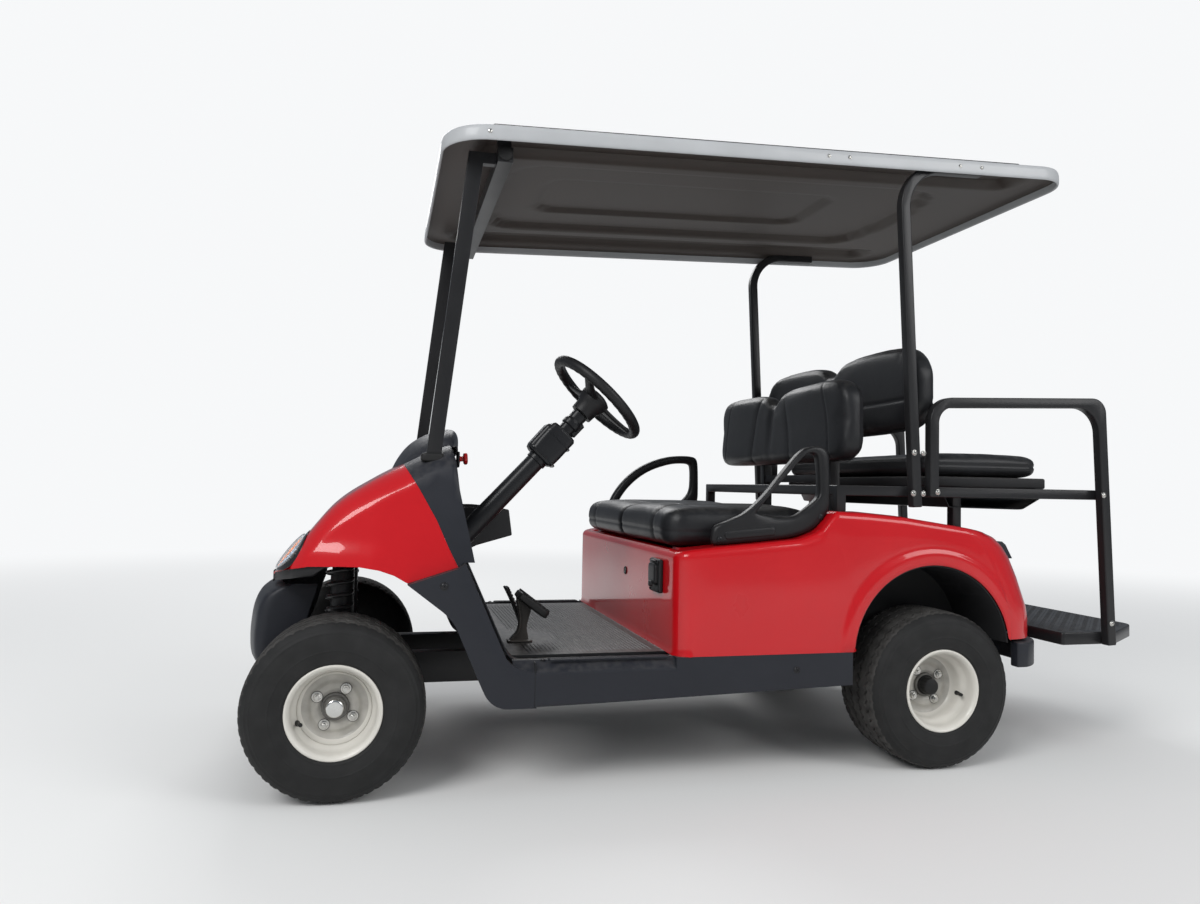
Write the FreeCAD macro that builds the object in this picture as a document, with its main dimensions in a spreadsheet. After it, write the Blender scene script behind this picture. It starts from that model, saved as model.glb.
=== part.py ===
import FreeCAD, Part
import Sketcher
import math
import os

# Golf cart with a flip-over rear seat and a long roof, in millimetres.
# X points to the front, Y to the driver's side and Z up.
# The origin is on the ground, under the middle of the whole cart.

V = FreeCAD.Vector
UP = V(0, 0, 1)

doc = FreeCAD.newDocument("golf_cart")
sheet = doc.addObject("Spreadsheet::Sheet", "Sizes")

# Each row: name of the cell, millimetres (or degrees where the note says so), what it measures.
SIZES = [
    ("front_axle_x", 1124, "front wheel centres, ahead of the origin"),
    ("wheelbase", 1669, "front to rear wheel centres"),
    ("front_half_track", 451, "centre plane of a front wheel"),
    ("rear_half_track", 489, "centre plane of a rear wheel"),
    ("tyre_radius", 225, "outside of the tread, on the ground"),
    ("tyre_half_width", 108, "half the section at its widest"),
    ("tread_half_width", 78, "half the tread"),
    ("bead_radius", 108, "tyre's inner edge on the rim"),
    ("rim_half_width", 95, "half the rim between its flanges"),
    ("flange_radius", 116, "outside of the rim's flange"),
    ("rim_well_radius", 90, "inside of the rim's well"),
    ("rim_wall", 4, "sheet of the rim"),
    ("front_disc_offset", 24, "wheel disc outboard of the front wheel's centre plane"),
    ("rear_disc_offset", 9, "wheel disc outboard of the rear wheel's centre plane"),
    ("disc_radius", 73, "flat part of the wheel disc"),
    ("hub_radius", 34, "hub flange in the wheel disc"),
    ("front_cap_radius", 23, "bright cap on a front hub"),
    ("front_cap_reach", 57, "end of the front cap from the centre plane"),
    ("rear_cap_radius", 27, "rubber cap on a rear hub"),
    ("rear_cap_reach", 46, "end of the rear cap from the centre plane"),
    ("kingpin_y", 352, "steering axis of a front wheel"),
    ("yoke_half_height", 52, "knuckle barrel, above and below the axle"),
    ("arm_reach", 60, "steering arm behind the kingpin"),
    ("tie_rod_z", 185, "height of the tie rod"),
    ("tie_rod_radius", 9, "tie rod"),
    ("beam_bottom", 159, "underside of the front beam"),
    ("rail_y", 155, "middle of a frame rail"),
    ("rail_width", 45, "frame rail"),
    ("rail_height", 88, "frame rail"),
    ("rail_bottom", 210, "underside of the front part of the frame"),
    ("rail_kick", 110, "rise of the frame over the rear axle"),
    ("kick_x", -240, "front end of that rise"),
    ("rail_front_x", 1300, "front end of the frame"),
    ("rail_rear_x", -790, "rear end of the frame"),
    ("cross_width", 45, "cross member along X"),
    ("floor_top", 335, "top of the floor pan"),
    ("floor_sheet", 6, "floor pan"),
    ("floor_half_width", 546, "floor pan"),
    ("floor_rear_x", 240, "rear edge of the floor"),
    ("toe_x", 690, "where the floor turns up to the toe board"),
    ("toe_top_x", 806, "top of the toe board"),
    ("toe_top_z", 590, "top of the toe board"),
    ("mat_thickness", 8, "rubber floor mat"),
    ("mat_half_width", 500, "rubber floor mat"),
    ("rocker_y", 588, "outside of the side panels"),
    ("rocker_bottom", 226, "underside of the side panels at the front"),
    ("rocker_rear_bottom", 253, "underside of the side panels at the rear"),
    ("rocker_rear_x", -258, "rear end of the side panels"),
    ("sill_crease", 314, "outer crease of the sill"),
    ("leg_front_x", 957, "front tip of the side panel's leg"),
    ("leg_front_z", 539, "front tip of the side panel's leg"),
    ("body_half_width", 588, "red body's sides"),
    ("flare", 6, "wheel arch lips, proud of the body"),
    ("body_wall", 5, "moulded body panels"),
    ("body_front_x", 258, "seat box's front face"),
    ("body_bottom", 343, "seat box's lower edge"),
    ("seat_ledge_z", 620, "seat box's top edge under the cushion"),
    ("deck_front_x", -208, "front end of the rear body's top"),
    ("deck_front_z", 733, "front end of the rear body's top"),
    ("deck_rear_z", 671, "rear end of that top"),
    ("deck_rear_x", -753, "rear end of that top"),
    ("tail_x", -890, "rearmost edge of the body"),
    ("tail_z", 366, "rearmost edge of the body"),
    ("tail_corner", 120, "rear corners of the body in plan"),
    ("socket_inset", 210, "charger socket, in from the body's side"),
    ("socket_width", 88, "charger socket"),
    ("arch_x", -512, "middle of the rear wheel arch"),
    ("arch_z", 333, "middle of the rear wheel arch"),
    ("arch_radius", 250, "rear wheel arch"),
    ("arch_lip", 42, "width of the raised lip around the arch"),
    ("liner_y", 352, "inner wall of a rear wheel's liner"),
    ("well_half_width", 420, "bag well between the rear wings"),
    ("well_floor_z", 600, "floor of the bag well"),
    ("seat_inset", 108, "front cushion, in from the body's side"),
    ("seat_front_x", 252, "front edge of the front cushion"),
    ("seat_rear_x", -186, "rear edge of the front cushion"),
    ("seat_thickness", 122, "front cushion"),
    ("back_half_width", 486, "front backrest"),
    ("back_bottom_z", 877, "front backrest"),
    ("back_top_z", 1130, "front backrest"),
    ("back_front_x", -268, "front backrest's front face"),
    ("back_thickness", 92, "front backrest"),
    ("post_y", 250, "backrest posts"),
    ("post_width", 32, "backrest posts"),
    ("hip_inset", 56, "middle of the hip restraints, in from the body's side"),
    ("hip_width", 36, "hip restraints along Y"),
    ("tube", 30, "square tube of the rear seat kit"),
    ("kit_y", 539, "middle of the kit's legs, struts and grab rails"),
    ("kit_rail_z", 792, "middle of the kit's side rails"),
    ("kit_rail_front_x", -240, "front end of the side rails"),
    ("grab_front_x", -539, "front leg of a grab rail"),
    ("grab_top_z", 1062, "top of a grab rail"),
    ("grab_rear_x", -1126, "rear leg of a grab rail, at its top"),
    ("grab_foot_x", -1162, "rear leg of a grab rail, at the footplate"),
    ("bend_radius", 62, "bends of the kit's tubes"),
    ("footplate_top", 370, "top of the footplate"),
    ("footplate_thickness", 38, "footplate"),
    ("footplate_front_x", -1005, "front edge of the footplate"),
    ("footplate_rear_x", -1385, "rear edge of the footplate"),
    ("footplate_rear_half", 400, "half its width at the rear"),
    ("bench_front_x", -575, "front edge of the rear cushion"),
    ("bench_rear_x", -978, "rear edge of the rear cushion"),
    ("bench_half_width", 470, "rear cushion"),
    ("bench_thickness", 74, "rear cushion"),
    ("board_thickness", 33, "rear seat's board"),
    ("rear_back_x", -492, "front face of the rear backrest"),
    ("rear_back_thickness", 84, "rear backrest"),
    ("rear_back_bottom", 972, "rear backrest"),
    ("rear_back_top", 1240, "rear backrest"),
    ("strut_foot_x", -484, "rear roof strut at the side rail"),
    ("strut_top_x", -434, "rear roof strut below its bend"),
    ("strut_bend", 125, "bend at the top of the rear strut"),
    ("strut_end_x", -700, "rear end of the strut under the roof"),
    ("front_strut_y", 460, "front roof struts"),
    ("front_strut_foot_x", 897, "front roof strut in its socket"),
    ("front_strut_foot_z", 850, "front roof strut in its socket"),
    ("front_strut_top_x", 805, "top of the front roof strut"),
    ("front_strut_depth", 38, "front roof strut along X"),
    ("front_strut_width", 26, "front roof strut along Y"),
    ("roof_bar_x", 732, "cross bar under the roof"),
    ("roof_bar_half", 520, "half the cross bar's length"),
    ("roof_front_x", 897, "front edge of the roof"),
    ("roof_rear_x", -1015, "rear edge of the roof"),
    ("roof_half_width", 572, "roof"),
    ("roof_front_z", 1673, "lower edge of the roof at its front"),
    ("roof_rise", 80, "rise of the roof over its length"),
    ("roof_corner", 120, "corners of the roof in plan"),
    ("roof_band", 42, "height of the roof's edge band"),
    ("roof_skin", 5, "moulded roof"),
    ("roof_crown", 26, "raised top panels"),
    ("wheel_hub_x", 419, "middle of the steering wheel"),
    ("wheel_hub_y", 300, "middle of the steering wheel"),
    ("wheel_hub_z", 1050, "middle of the steering wheel"),
    ("wheel_tilt", 43, "degrees, steering wheel from level"),
    ("steering_radius", 149, "middle of the steering wheel's rim"),
    ("grip_radius", 16, "steering wheel's rim"),
    ("column_radius", 26, "steering column"),
    ("column_length", 590, "steering column from the wheel's hub"),
    ("cowl_nose_x", 1330, "front edge of the cowl"),
    ("cowl_wall", 5, "cowl and dash mouldings"),
    ("dash_top_z", 952, "top of the dash hump"),
    ("dash_hump_half", 330, "half the width of the dash hump"),
    ("bumper_x", 1385, "front of the bumper"),
    ("bumper_half_width", 246, "bumper between the front tyres"),
    ("bumper_bottom", 284, "underside of the bumper"),
    ("bumper_wall", 6, "bumper moulding"),
    ("shock_y", 280, "front shock absorbers"),
    ("shock_radius", 30, "coils of the front shock absorbers"),
    ("shock_top_z", 585, "top of the front shock absorbers"),
    ("rear_tube_radius", 38, "rear axle tube"),
    ("leaf_y", 285, "rear leaf springs"),
    ("leaf_width", 45, "rear leaf springs"),
    ("leaf_thickness", 14, "rear leaf springs"),
    ("battery_half_width", 330, "battery pack"),
    ("battery_top", 600, "battery pack"),
    ("running_gap", 0.3, "gap between pieces that touch on the real cart"),
]

for row, (alias, value, note) in enumerate(SIZES, start=1):
    sheet.set("A%d" % row, note)
    sheet.set("B%d" % row, "%g" % value)
    sheet.setAlias("B%d" % row, alias)
doc.recompute()


class Length:
    """A size with its formula over the sheet, so code and expressions share one source."""

    def __init__(self, text, value):
        self.text = text
        self.value = float(value)

    def __float__(self):
        return self.value

    def __neg__(self):
        return Length("(0 - %s)" % self.text, -self.value)

    def __add__(self, other):
        return Length("(%s + %s)" % (self.text, words(other)), self.value + float(other))

    def __radd__(self, other):
        return Length("(%s + %s)" % (words(other), self.text), float(other) + self.value)

    def __sub__(self, other):
        return Length("(%s - %s)" % (self.text, words(other)), self.value - float(other))

    def __rsub__(self, other):
        return Length("(%s - %s)" % (words(other), self.text), float(other) - self.value)

    def __mul__(self, other):
        return Length("(%s * %s)" % (self.text, words(other)), self.value * float(other))

    __rmul__ = __mul__

    def __truediv__(self, other):
        return Length("(%s / %s)" % (self.text, words(other)), self.value / float(other))


def words(value):
    """Formula of a Length, or the digits of a plain number."""
    return value.text if isinstance(value, Length) else "(%.6f)" % value


class Cells:
    """Reads the sheet's cells by name."""

    def __getattr__(self, alias):
        return Length("Sizes." + alias, float(sheet.get(alias)))


S = Cells()
nodes = []


def bind(thing, **places):
    """Binds properties of an object to formulas; dots in names are written as two underscores."""
    for name, length in places.items():
        thing.setExpression(name.replace("__", "."), words(length))
    return thing


def node(thing, label):
    """Names a finished sub-part, which goes to its own file."""
    thing.Label = label
    nodes.append(thing)
    return thing


def box(x, y, z):
    """Box between two limits along each axis."""
    thing = doc.addObject("Part::Box", "box")
    bind(thing, Length=x[1] - x[0], Width=y[1] - y[0], Height=z[1] - z[0])
    return bind(thing, Placement__Base__x=x[0], Placement__Base__y=y[0], Placement__Base__z=z[0])


TURNS = {
    "X": FreeCAD.Rotation(V(0, 1, 0), 90),
    "Y": FreeCAD.Rotation(V(1, 0, 0), -90),
    "Z": FreeCAD.Rotation(),
}


def rod(axis, radius, start, length):
    """Cylinder along a frame axis from a start point."""
    thing = doc.addObject("Part::Cylinder", "rod")
    thing.Placement = FreeCAD.Placement(V(0, 0, 0), TURNS[axis])
    bind(thing, Radius=radius, Height=length)
    return bind(thing, Placement__Base__x=start[0], Placement__Base__y=start[1],
                Placement__Base__z=start[2])


def joined(*things):
    """Union of several objects."""
    thing = doc.addObject("Part::MultiFuse", "joined")
    thing.Shapes = list(things)
    thing.Refine = True
    return thing


def without(base, *tools):
    """Base with the tools cut away."""
    thing = doc.addObject("Part::Cut", "cut")
    thing.Base = base
    thing.Tool = tools[0] if len(tools) == 1 else joined(*tools)
    return thing


def shared(first, second):
    """What two objects have in common."""
    thing = doc.addObject("Part::Common", "shared")
    thing.Base = first
    thing.Tool = second
    return thing


def together(*things):
    """Several separate solids kept as one object."""
    thing = doc.addObject("Part::Compound", "together")
    thing.Links = list(things)
    return thing


def mirrored(source):
    """The same piece on the other side of the cart."""
    thing = doc.addObject("Part::Mirroring", "mirrored")
    thing.Source = source
    thing.Normal = V(0, 1, 0)
    return thing


def pair(source):
    """A piece and its mirror image across the cart's middle."""
    return together(source, mirrored(source))


PLANES = {"XY": "XY_Plane", "XZ": "XZ_Plane", "YZ": "YZ_Plane"}


def sketched(plane, corners, offset):
    """Body with a closed outline, each corner held by two bound distances."""
    body = doc.addObject("PartDesign::Body", "body")
    sketch = body.newObject("Sketcher::SketchObject", "outline")
    base = [item for item in body.Origin.OriginFeatures if item.Role == PLANES[plane]][0]
    sketch.AttachmentSupport = (base, [""])
    sketch.MapMode = "FlatFace"
    bind(sketch, AttachmentOffset__Base__z=offset)
    points = [V(float(corner[0]), float(corner[1]), 0) for corner in corners]
    count = len(points)
    for i in range(count):
        sketch.addGeometry(Part.LineSegment(points[i], points[(i + 1) % count]))
    for i in range(count):
        sketch.addConstraint(Sketcher.Constraint("Coincident", i, 2, (i + 1) % count, 1))
    for i in range(count):
        for kind, length in (("DistanceX", corners[i][0]), ("DistanceY", corners[i][1])):
            number = sketch.addConstraint(Sketcher.Constraint(kind, -1, 1, i, 1, float(length)))
            if isinstance(length, Length):
                sketch.setExpression("Constraints[%d]" % number, length.text)
    doc.recompute()
    return body, sketch


def rounded(body, feature, corners, place):
    """Fillets the edges at the corners that state a radius; place gives an edge's corner."""
    for corner in corners:
        if len(corner) < 3:
            continue
        names = []
        for number, edge in enumerate(feature.Shape.Edges, start=1):
            low, high = edge.ParameterRange
            a, b = place(edge.valueAt(0.5 * (low + high)))
            if math.hypot(a - float(corner[0]), b - float(corner[1])) < 0.05:
                names.append("Edge%d" % number)
        fillet = body.newObject("PartDesign::Fillet", "rounding")
        fillet.Base = (feature, names)
        bind(fillet, Radius=corner[2])
        doc.recompute()
        feature = fillet
    body.Tip = feature
    return body


def plate(plane, corners, low, high):
    """Outline with rounded corners, padded between two limits along its plane's normal."""
    back = plane == "XZ"
    body, sketch = sketched(plane, corners, -high if back else low)
    feature = body.newObject("PartDesign::Pad", "pad")
    feature.Profile = sketch
    bind(feature, Length=high - low)
    doc.recompute()
    place = {
        "XY": lambda p: (p.x, p.y),
        "XZ": lambda p: (p.x, p.z),
        "YZ": lambda p: (p.y, p.z),
    }[plane]
    return rounded(body, feature, corners, place)


def turned(corners, centre):
    """Outline of distance along Y and radius, revolved about a wheel's axis at centre."""
    body, sketch = sketched("YZ", corners, 0)
    feature = body.newObject("PartDesign::Revolution", "turning")
    feature.Profile = sketch
    feature.ReferenceAxis = (sketch, ["H_Axis"])
    feature.Angle = 360
    doc.recompute()
    rounded(body, feature, corners, lambda p: (p.y, math.hypot(p.x, p.z)))
    return bind(body, Placement__Base__x=centre[0], Placement__Base__y=centre[1],
                Placement__Base__z=centre[2])


def bent_tube(line, radius, plane, middle):
    """Square tube bent in a plane: a run of points, one bend radius for its corners."""
    half = S.tube / 2
    sides = ([], [])
    for i, (a, b) in enumerate(line):
        turns = []
        for first, second in ((i - 1, i), (i, i + 1)):
            if 0 <= first and second < len(line):
                turns.append(math.atan2(float(line[second][1] - line[first][1]),
                                        float(line[second][0] - line[first][0])))
        middle_turn = sum(turns) / len(turns)
        stretch = 1 / math.cos(0.5 * (turns[-1] - turns[0]))
        left = turns[-1] > turns[0]
        for side, sign in zip(sides, (1, -1)):
            corner = [a - half * (sign * stretch * math.sin(middle_turn)),
                      b + half * (sign * stretch * math.cos(middle_turn))]
            if len(turns) == 2:
                corner.append(radius - half if left == (sign > 0) else radius + half)
            side.append(tuple(corner))
    return plate(plane, sides[0] + sides[1][::-1], middle - half, middle + half)


def loft(sections):
    """Solid through closed wires of as many edges each."""
    return Part.makeLoft(sections, True, True)


def feature(shape):
    """Shape that no bound feature makes, built from the sheet's values."""
    thing = doc.addObject("Part::Feature", "form")
    thing.Shape = shape
    return thing


def wire(points, close=True):
    """Straight-edged wire."""
    return Part.makePolygon(points + [points[0]] if close else points)


# Steel frame: two rails that rise over the rear axle, cross members and outriggers.
rear_axle_x = S.front_axle_x - S.wheelbase
rail_top = S.rail_bottom + S.rail_height
rail_outline = [
    (S.rail_front_x, S.rail_bottom + 60),
    (S.rail_front_x, rail_top),
    (S.kick_x, rail_top),
    (S.kick_x - S.rail_kick, rail_top + S.rail_kick),
    (S.rail_rear_x, rail_top + S.rail_kick),
    (S.rail_rear_x, S.rail_bottom + S.rail_kick),
    (S.kick_x - S.rail_kick, S.rail_bottom + S.rail_kick),
    (S.kick_x, S.rail_bottom),
    (S.rail_front_x - 110, S.rail_bottom),
]
rail = plate("XZ", rail_outline, S.rail_y - S.rail_width / 2, S.rail_y + S.rail_width / 2)
floor_seat = S.floor_top - S.floor_sheet - S.running_gap
# Middle of each cross member along X, half its length, underside and top.
CROSSES = [
    (S.rail_front_x - S.cross_width / 2, S.rail_y, S.rail_bottom + 60, rail_top),
    (S.front_axle_x + 110, S.rail_y, S.rail_bottom + 30, rail_top),
    (S.front_axle_x - 150, S.rail_y, S.rail_bottom + 30, rail_top),
    (S.toe_x - 60, S.floor_half_width, rail_top - 45, floor_seat),
    (S.floor_rear_x + 60, S.floor_half_width, rail_top - 45, floor_seat),
    (S.kick_x + 60, S.floor_half_width, rail_top - 45, floor_seat),
    (S.rail_rear_x + S.cross_width / 2, S.liner_y - 20, rail_top + 50, rail_top + S.rail_kick),
]
frame_pieces = [rail, mirrored(rail)]
for x, half, low, high in CROSSES:
    frame_pieces.append(box((x - S.cross_width / 2, x + S.cross_width / 2), (-half, half), (low, high)))
tower_low = S.shock_top_z + S.running_gap
for side in (-1, 1):
    middle = side * (S.rail_y + S.rail_width / 2 + 12)
    frame_pieces.append(box((S.front_axle_x - 30, S.front_axle_x + 30), (middle - 14, middle + 14),
                            (rail_top - 40, tower_low + 2)))
frame_pieces.append(box((S.front_axle_x - 36, S.front_axle_x + 36), (-S.shock_y - 36, S.shock_y + 36),
                        (tower_low, tower_low + 28)))
# Brackets from the rails' front ends to the bumper's back, which curves away by a circle's sagitta.
bow_half = float(S.bumper_half_width) - 18
bow_radius = (bow_half ** 2 + 34 ** 2) / (2 * 34)
bracket_y = float(S.rail_y) + 15
bow = bow_radius - math.sqrt(bow_radius ** 2 - bracket_y ** 2)
for side in (-1, 1):
    middle = side * S.rail_y
    frame_pieces.append(box((S.rail_front_x - 40, S.rail_front_x), (middle - 15, middle + 15),
                            (rail_top - 10, rail_top + 82)))
    frame_pieces.append(box((S.rail_front_x - 20, S.bumper_x - bow - 4.2 - S.bumper_wall - S.running_gap),
                            (middle - 15, middle + 15), (rail_top + 52, rail_top + 82)))
node(joined(*frame_pieces), "chassis_frame")

# Floor pan with its toe board, and the ribbed rubber mat on it.
floor_outline = [
    (S.floor_rear_x, S.floor_top - S.floor_sheet),
    (S.toe_x + 2.5, S.floor_top - S.floor_sheet, 60),
    (S.toe_top_x + 6, S.toe_top_z),
    (S.toe_top_x, S.toe_top_z),
    (S.toe_x, S.floor_top, 54),
    (S.floor_rear_x, S.floor_top),
]
node(plate("XZ", floor_outline, -S.floor_half_width, S.floor_half_width), "floor_pan")
mat_base = S.floor_top + S.running_gap
mat_outline = [
    (S.floor_rear_x + 22, mat_base),
    (S.toe_x - 60, mat_base),
    (S.toe_x - 60, mat_base + S.mat_thickness),
    (S.floor_rear_x + 22, mat_base + S.mat_thickness),
]
node(plate("XZ", mat_outline, -S.mat_half_width, S.mat_half_width), "floor_mat")

# Side panels: a sill with a sloped top and a leg that curves up to the cowl.
rocker_in = S.floor_half_width + S.running_gap
sill_outline = [
    (rocker_in, S.rocker_bottom),
    (S.rocker_y, S.rocker_bottom, 12),
    (S.rocker_y, S.sill_crease, 14),
    (rocker_in + 14, S.floor_top + 8, 8),
    (rocker_in, S.floor_top + 8),
]
sill = plate("YZ", sill_outline, S.rocker_rear_x, S.toe_x)
sill_rear = box((S.rocker_rear_x, S.floor_rear_x + 18), (rocker_in, S.rocker_y),
                (S.sill_crease - 30, S.body_bottom - S.running_gap))
sill_under = plate("XZ", [
    (S.rocker_rear_x - 5, S.rocker_bottom - 5),
    (S.toe_x - 20, S.rocker_bottom - 5),
    (S.toe_x - 20, S.rocker_bottom),
    (S.rocker_rear_x - 5, S.rocker_rear_bottom),
], rocker_in - 5, S.rocker_y + 5)
# The leg's top follows the lower edges of the cowl and the dash.
seam_foot_x = S.toe_top_x + 26
seam_foot_z = S.toe_top_z - 11
leg_outline = [
    (S.toe_x - 60, S.rocker_bottom),
    (S.toe_x + 55, S.rocker_bottom, 70),
    (S.leg_front_x - 112, S.leg_front_z - 87, 130),
    (S.leg_front_x, S.leg_front_z - 0.4),
    (seam_foot_x, seam_foot_z - 0.4),
    (S.toe_top_x + 10, S.toe_top_z),
    (S.toe_x + 12, S.floor_top, 60),
    (S.toe_x - 60, S.floor_top - 22),
]
leg = plate("XZ", leg_outline, rocker_in, S.rocker_y)
rocker = joined(without(joined(sill, sill_rear), sill_under), leg)
node(rocker, "rocker_left")
node(mirrored(rocker), "rocker_right")

# Cowl and dash share one surface: sections across the cart, lofted from the nose to the dash.
# Columns: distance behind the nose, crown height, shoulder height, half-width at the top,
# half-width at the bottom.
STATIONS = [
    (0, 512, 506, 330, 350),
    (50, 578, 560, 415, 440),
    (110, 652, 636, 455, 500),
    (180, 734, 722, 462, 535),
    (280, 803, 794, 458, 556),
    (370, 852, 842, 452, 562),
    (460, 896, 886, 447, 566),
    (560, 930, 915, 440, 570),
]
SECTION_FOOT = 470


def cowl_section(station, inset):
    """One closed section: low edge, side, rounded shoulder and crowned top."""
    back, crown, shoulder, top_half, low_half = station
    x = float(S.cowl_nose_x) - back
    top_half = top_half - inset
    low_half = low_half - inset
    crown = crown - inset
    shoulder = shoulder - inset
    turn = min(60.0, 0.4 * (shoulder - SECTION_FOOT))
    side = V(x, low_half, SECTION_FOOT)
    rise = V(x, top_half + 0.35 * (low_half - top_half) + 22, shoulder - turn)
    bulge = V(x, top_half + 12, shoulder - 0.25 * turn)
    shoulder_end = V(x, top_half - 40, shoulder)
    edges = [Part.makeLine(V(x, -side.y, side.z), side)]
    edges.append(Part.makeLine(side, rise))
    edges.append(Part.Arc(rise, bulge, shoulder_end).toShape())
    edges.append(Part.Arc(shoulder_end, V(x, 0, crown), V(x, -shoulder_end.y, shoulder)).toShape())
    edges.append(Part.Arc(V(x, -shoulder_end.y, shoulder), V(x, -bulge.y, bulge.z),
                          V(x, -rise.y, rise.z)).toShape())
    edges.append(Part.makeLine(V(x, -rise.y, rise.z), V(x, -side.y, side.z)))
    return Part.Wire(edges)


outer_form = Part.makeLoft([cowl_section(row, 0) for row in STATIONS], True, False)
inner_form = Part.makeLoft([cowl_section(row, float(S.cowl_wall)) for row in STATIONS], True, False)


def side_prism(outline, half=700):
    """Prism across the cart over an outline in the side view."""
    face = Part.Face(wire([V(x, -half, z) for x, z in outline]))
    return face.extrude(V(0, 2 * half, 0))


nose = float(S.cowl_nose_x)
seam_foot = (float(seam_foot_x), float(seam_foot_z))
leg_tip = (float(S.leg_front_x), float(S.leg_front_z))
dash_top = float(S.dash_top_z)


def shifted(points, along, up=0.0):
    """The same points, moved along X and up."""
    return [(x + along, z + up) for x, z in points]


# Edge between the red cowl and the dark dash above the side panel, then over the top.
SEAM_RISE = [(26, 52), (55, 117), (98, 193), (137, 256), (143, 321)]
seam = [seam_foot] + [(seam_foot[0] + x, seam_foot[1] + z) for x, z in SEAM_RISE]
# Lower edge of the cowl over the front wheel, from the nose back to the leg's tip.
ARCH_RISE = [(388, -39), (343, 6), (303, 27), (240, 39), (164, 41), (117, 40), (69, 32), (32, 19), (0, 0)]
arch_edge = [(leg_tip[0] + x, leg_tip[1] + z) for x, z in ARCH_RISE]
cowl_prism = side_prism(arch_edge + seam + [(nose + 15, dash_top - 52)])
nose_plan = Part.Face(Part.Wire([
    Part.Arc(V(nose - 75, -470, 400), V(nose, 0, 400), V(nose - 75, 470, 400)).toShape(),
    Part.makeLine(V(nose - 75, 470, 400), V(nose - 180, 600, 400)),
    Part.makeLine(V(nose - 180, 600, 400), V(nose - 630, 600, 400)),
    Part.makeLine(V(nose - 630, 600, 400), V(nose - 630, -600, 400)),
    Part.makeLine(V(nose - 630, -600, 400), V(nose - 180, -600, 400)),
    Part.makeLine(V(nose - 180, -600, 400), V(nose - 75, -470, 400)),
])).extrude(V(0, 0, 700))
cowl_skin = outer_form.common(nose_plan).cut(inner_form)
LAMP = [(nose - 68, 560), (nose - 42, 552), (nose - 108, 656), (nose - 124, 616)]
LAMP_LOW, LAMP_HIGH = 320.0, 510.0


def lamp_zone(outline, inset):
    """Prism of both headlights, inset from their opening."""
    whole = side_prism(outline)
    width = LAMP_HIGH - LAMP_LOW - 2 * inset
    left = Part.makeBox(400, width, 400, V(nose - 330, LAMP_LOW + inset, 400))
    right = Part.makeBox(400, width, 400, V(nose - 330, -LAMP_HIGH + inset, 400))
    return whole.common(left.fuse(right))


cowl_shape = cowl_skin.common(cowl_prism).cut(lamp_zone(LAMP, 0))
node(feature(cowl_shape.removeSplitter()), "front_cowl")
lamp_back = outer_form.translated(V(-26, 0, -18))
LAMP_INNER = [(nose - 67.6, 560.4), (nose - 42.6, 552.7), (nose - 108, 655.3), (nose - 123.4, 616)]
lamp_shape = outer_form.common(nose_plan).cut(lamp_back).common(lamp_zone(LAMP_INNER, 0.4))
node(feature(lamp_shape.removeSplitter()), "headlights")

# Dash housing: the dark moulding behind the cowl, with a hump, a rear face and strut sockets.
toe_edge = (float(S.toe_top_x), float(S.toe_top_z) + 0.3)
# Rear face of the dash, from its foot up, ahead of the toe board's top.
FACE_RISE = [(-16, 0), (13, 132), (24, 184), (34, 262), (45, 303)]
face_line = [(toe_edge[0] + x, toe_edge[1] + z) for x, z in FACE_RISE]
dash_outline = shifted(seam[:5], -0.4) + [(seam[4][0] + 11, dash_top - 47)] + face_line[::-1]
dash_outline = dash_outline + [(toe_edge[0] + 12, toe_edge[1])]
dash_shell = outer_form.cut(inner_form).common(side_prism(dash_outline))
rear_face = side_prism(face_line + shifted(face_line[::-1], 7.0)).common(outer_form)
hump_half = float(S.dash_hump_half)
# Columns: distance from the middle and height of the hump's edge there, above its foot.
HUMP_ENDS = [(1.0, 0.45), (0.93, 0.82), (0.8, 0.97), (0.0, 1.0)]
HUMP_RISE = [(186, -112), (154, -54), (93, -15), (47, 0), (10, 0), (0, -46), (18, -102)]


def hump_section(y, share, inset):
    """Side outline of the hump at one place across the cart."""
    foot = -112 + inset
    points = []
    for x, z in HUMP_RISE:
        rise = foot + share * (z - inset - foot)
        points.append(V(float(S.toe_top_x) - 2 + x * (1 - 0.01 * inset) + 0.5 * inset, y, dash_top + rise))
    return wire(points)


def hump_form(inset):
    """Hump across the cart, lower toward its ends."""
    half = hump_half - inset
    rows = [(-half * y, share) for y, share in HUMP_ENDS] + [(half * y, share)
                                                             for y, share in HUMP_ENDS[-2::-1]]
    return loft([hump_section(y, share, inset) for y, share in rows])


hump_outer = hump_form(0.0)
hump_inner = hump_form(6.0)
cowl_side = side_prism(shifted(arch_edge + seam + [(nose + 15, dash_top - 52)], -0.4))
hump = hump_outer.cut(hump_inner).cut(inner_form).cut(cowl_side)
dash_shape = dash_shell.cut(hump_inner).fuse([rear_face, hump])
# Hole for the steering column and sockets for the front roof struts.
column_down = V(math.sin(math.radians(float(S.wheel_tilt))), 0, -math.cos(math.radians(float(S.wheel_tilt))))
hub_point = V(float(S.wheel_hub_x), float(S.wheel_hub_y), float(S.wheel_hub_z))
column_hole = Part.makeCylinder(float(S.column_radius) + 0.3, 400, hub_point + column_down * 300, column_down)
strut_run = (float(S.front_strut_top_x) - float(S.front_strut_foot_x)) / (
    float(S.roof_front_z) - 12 - float(S.front_strut_foot_z))
strut_half = float(S.front_strut_depth) / 2 + 0.4
socket_line = [(float(S.front_strut_foot_x) + strut_run * rise, float(S.front_strut_foot_z) + rise)
               for rise in (-1.0, 110.0)]
socket = side_prism(shifted(socket_line, -strut_half) + shifted(socket_line[::-1], strut_half),
                    float(S.front_strut_width) / 2 + 0.3)
sockets = [socket.translated(V(0, side * float(S.front_strut_y), 0)) for side in (-1, 1)]
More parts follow.
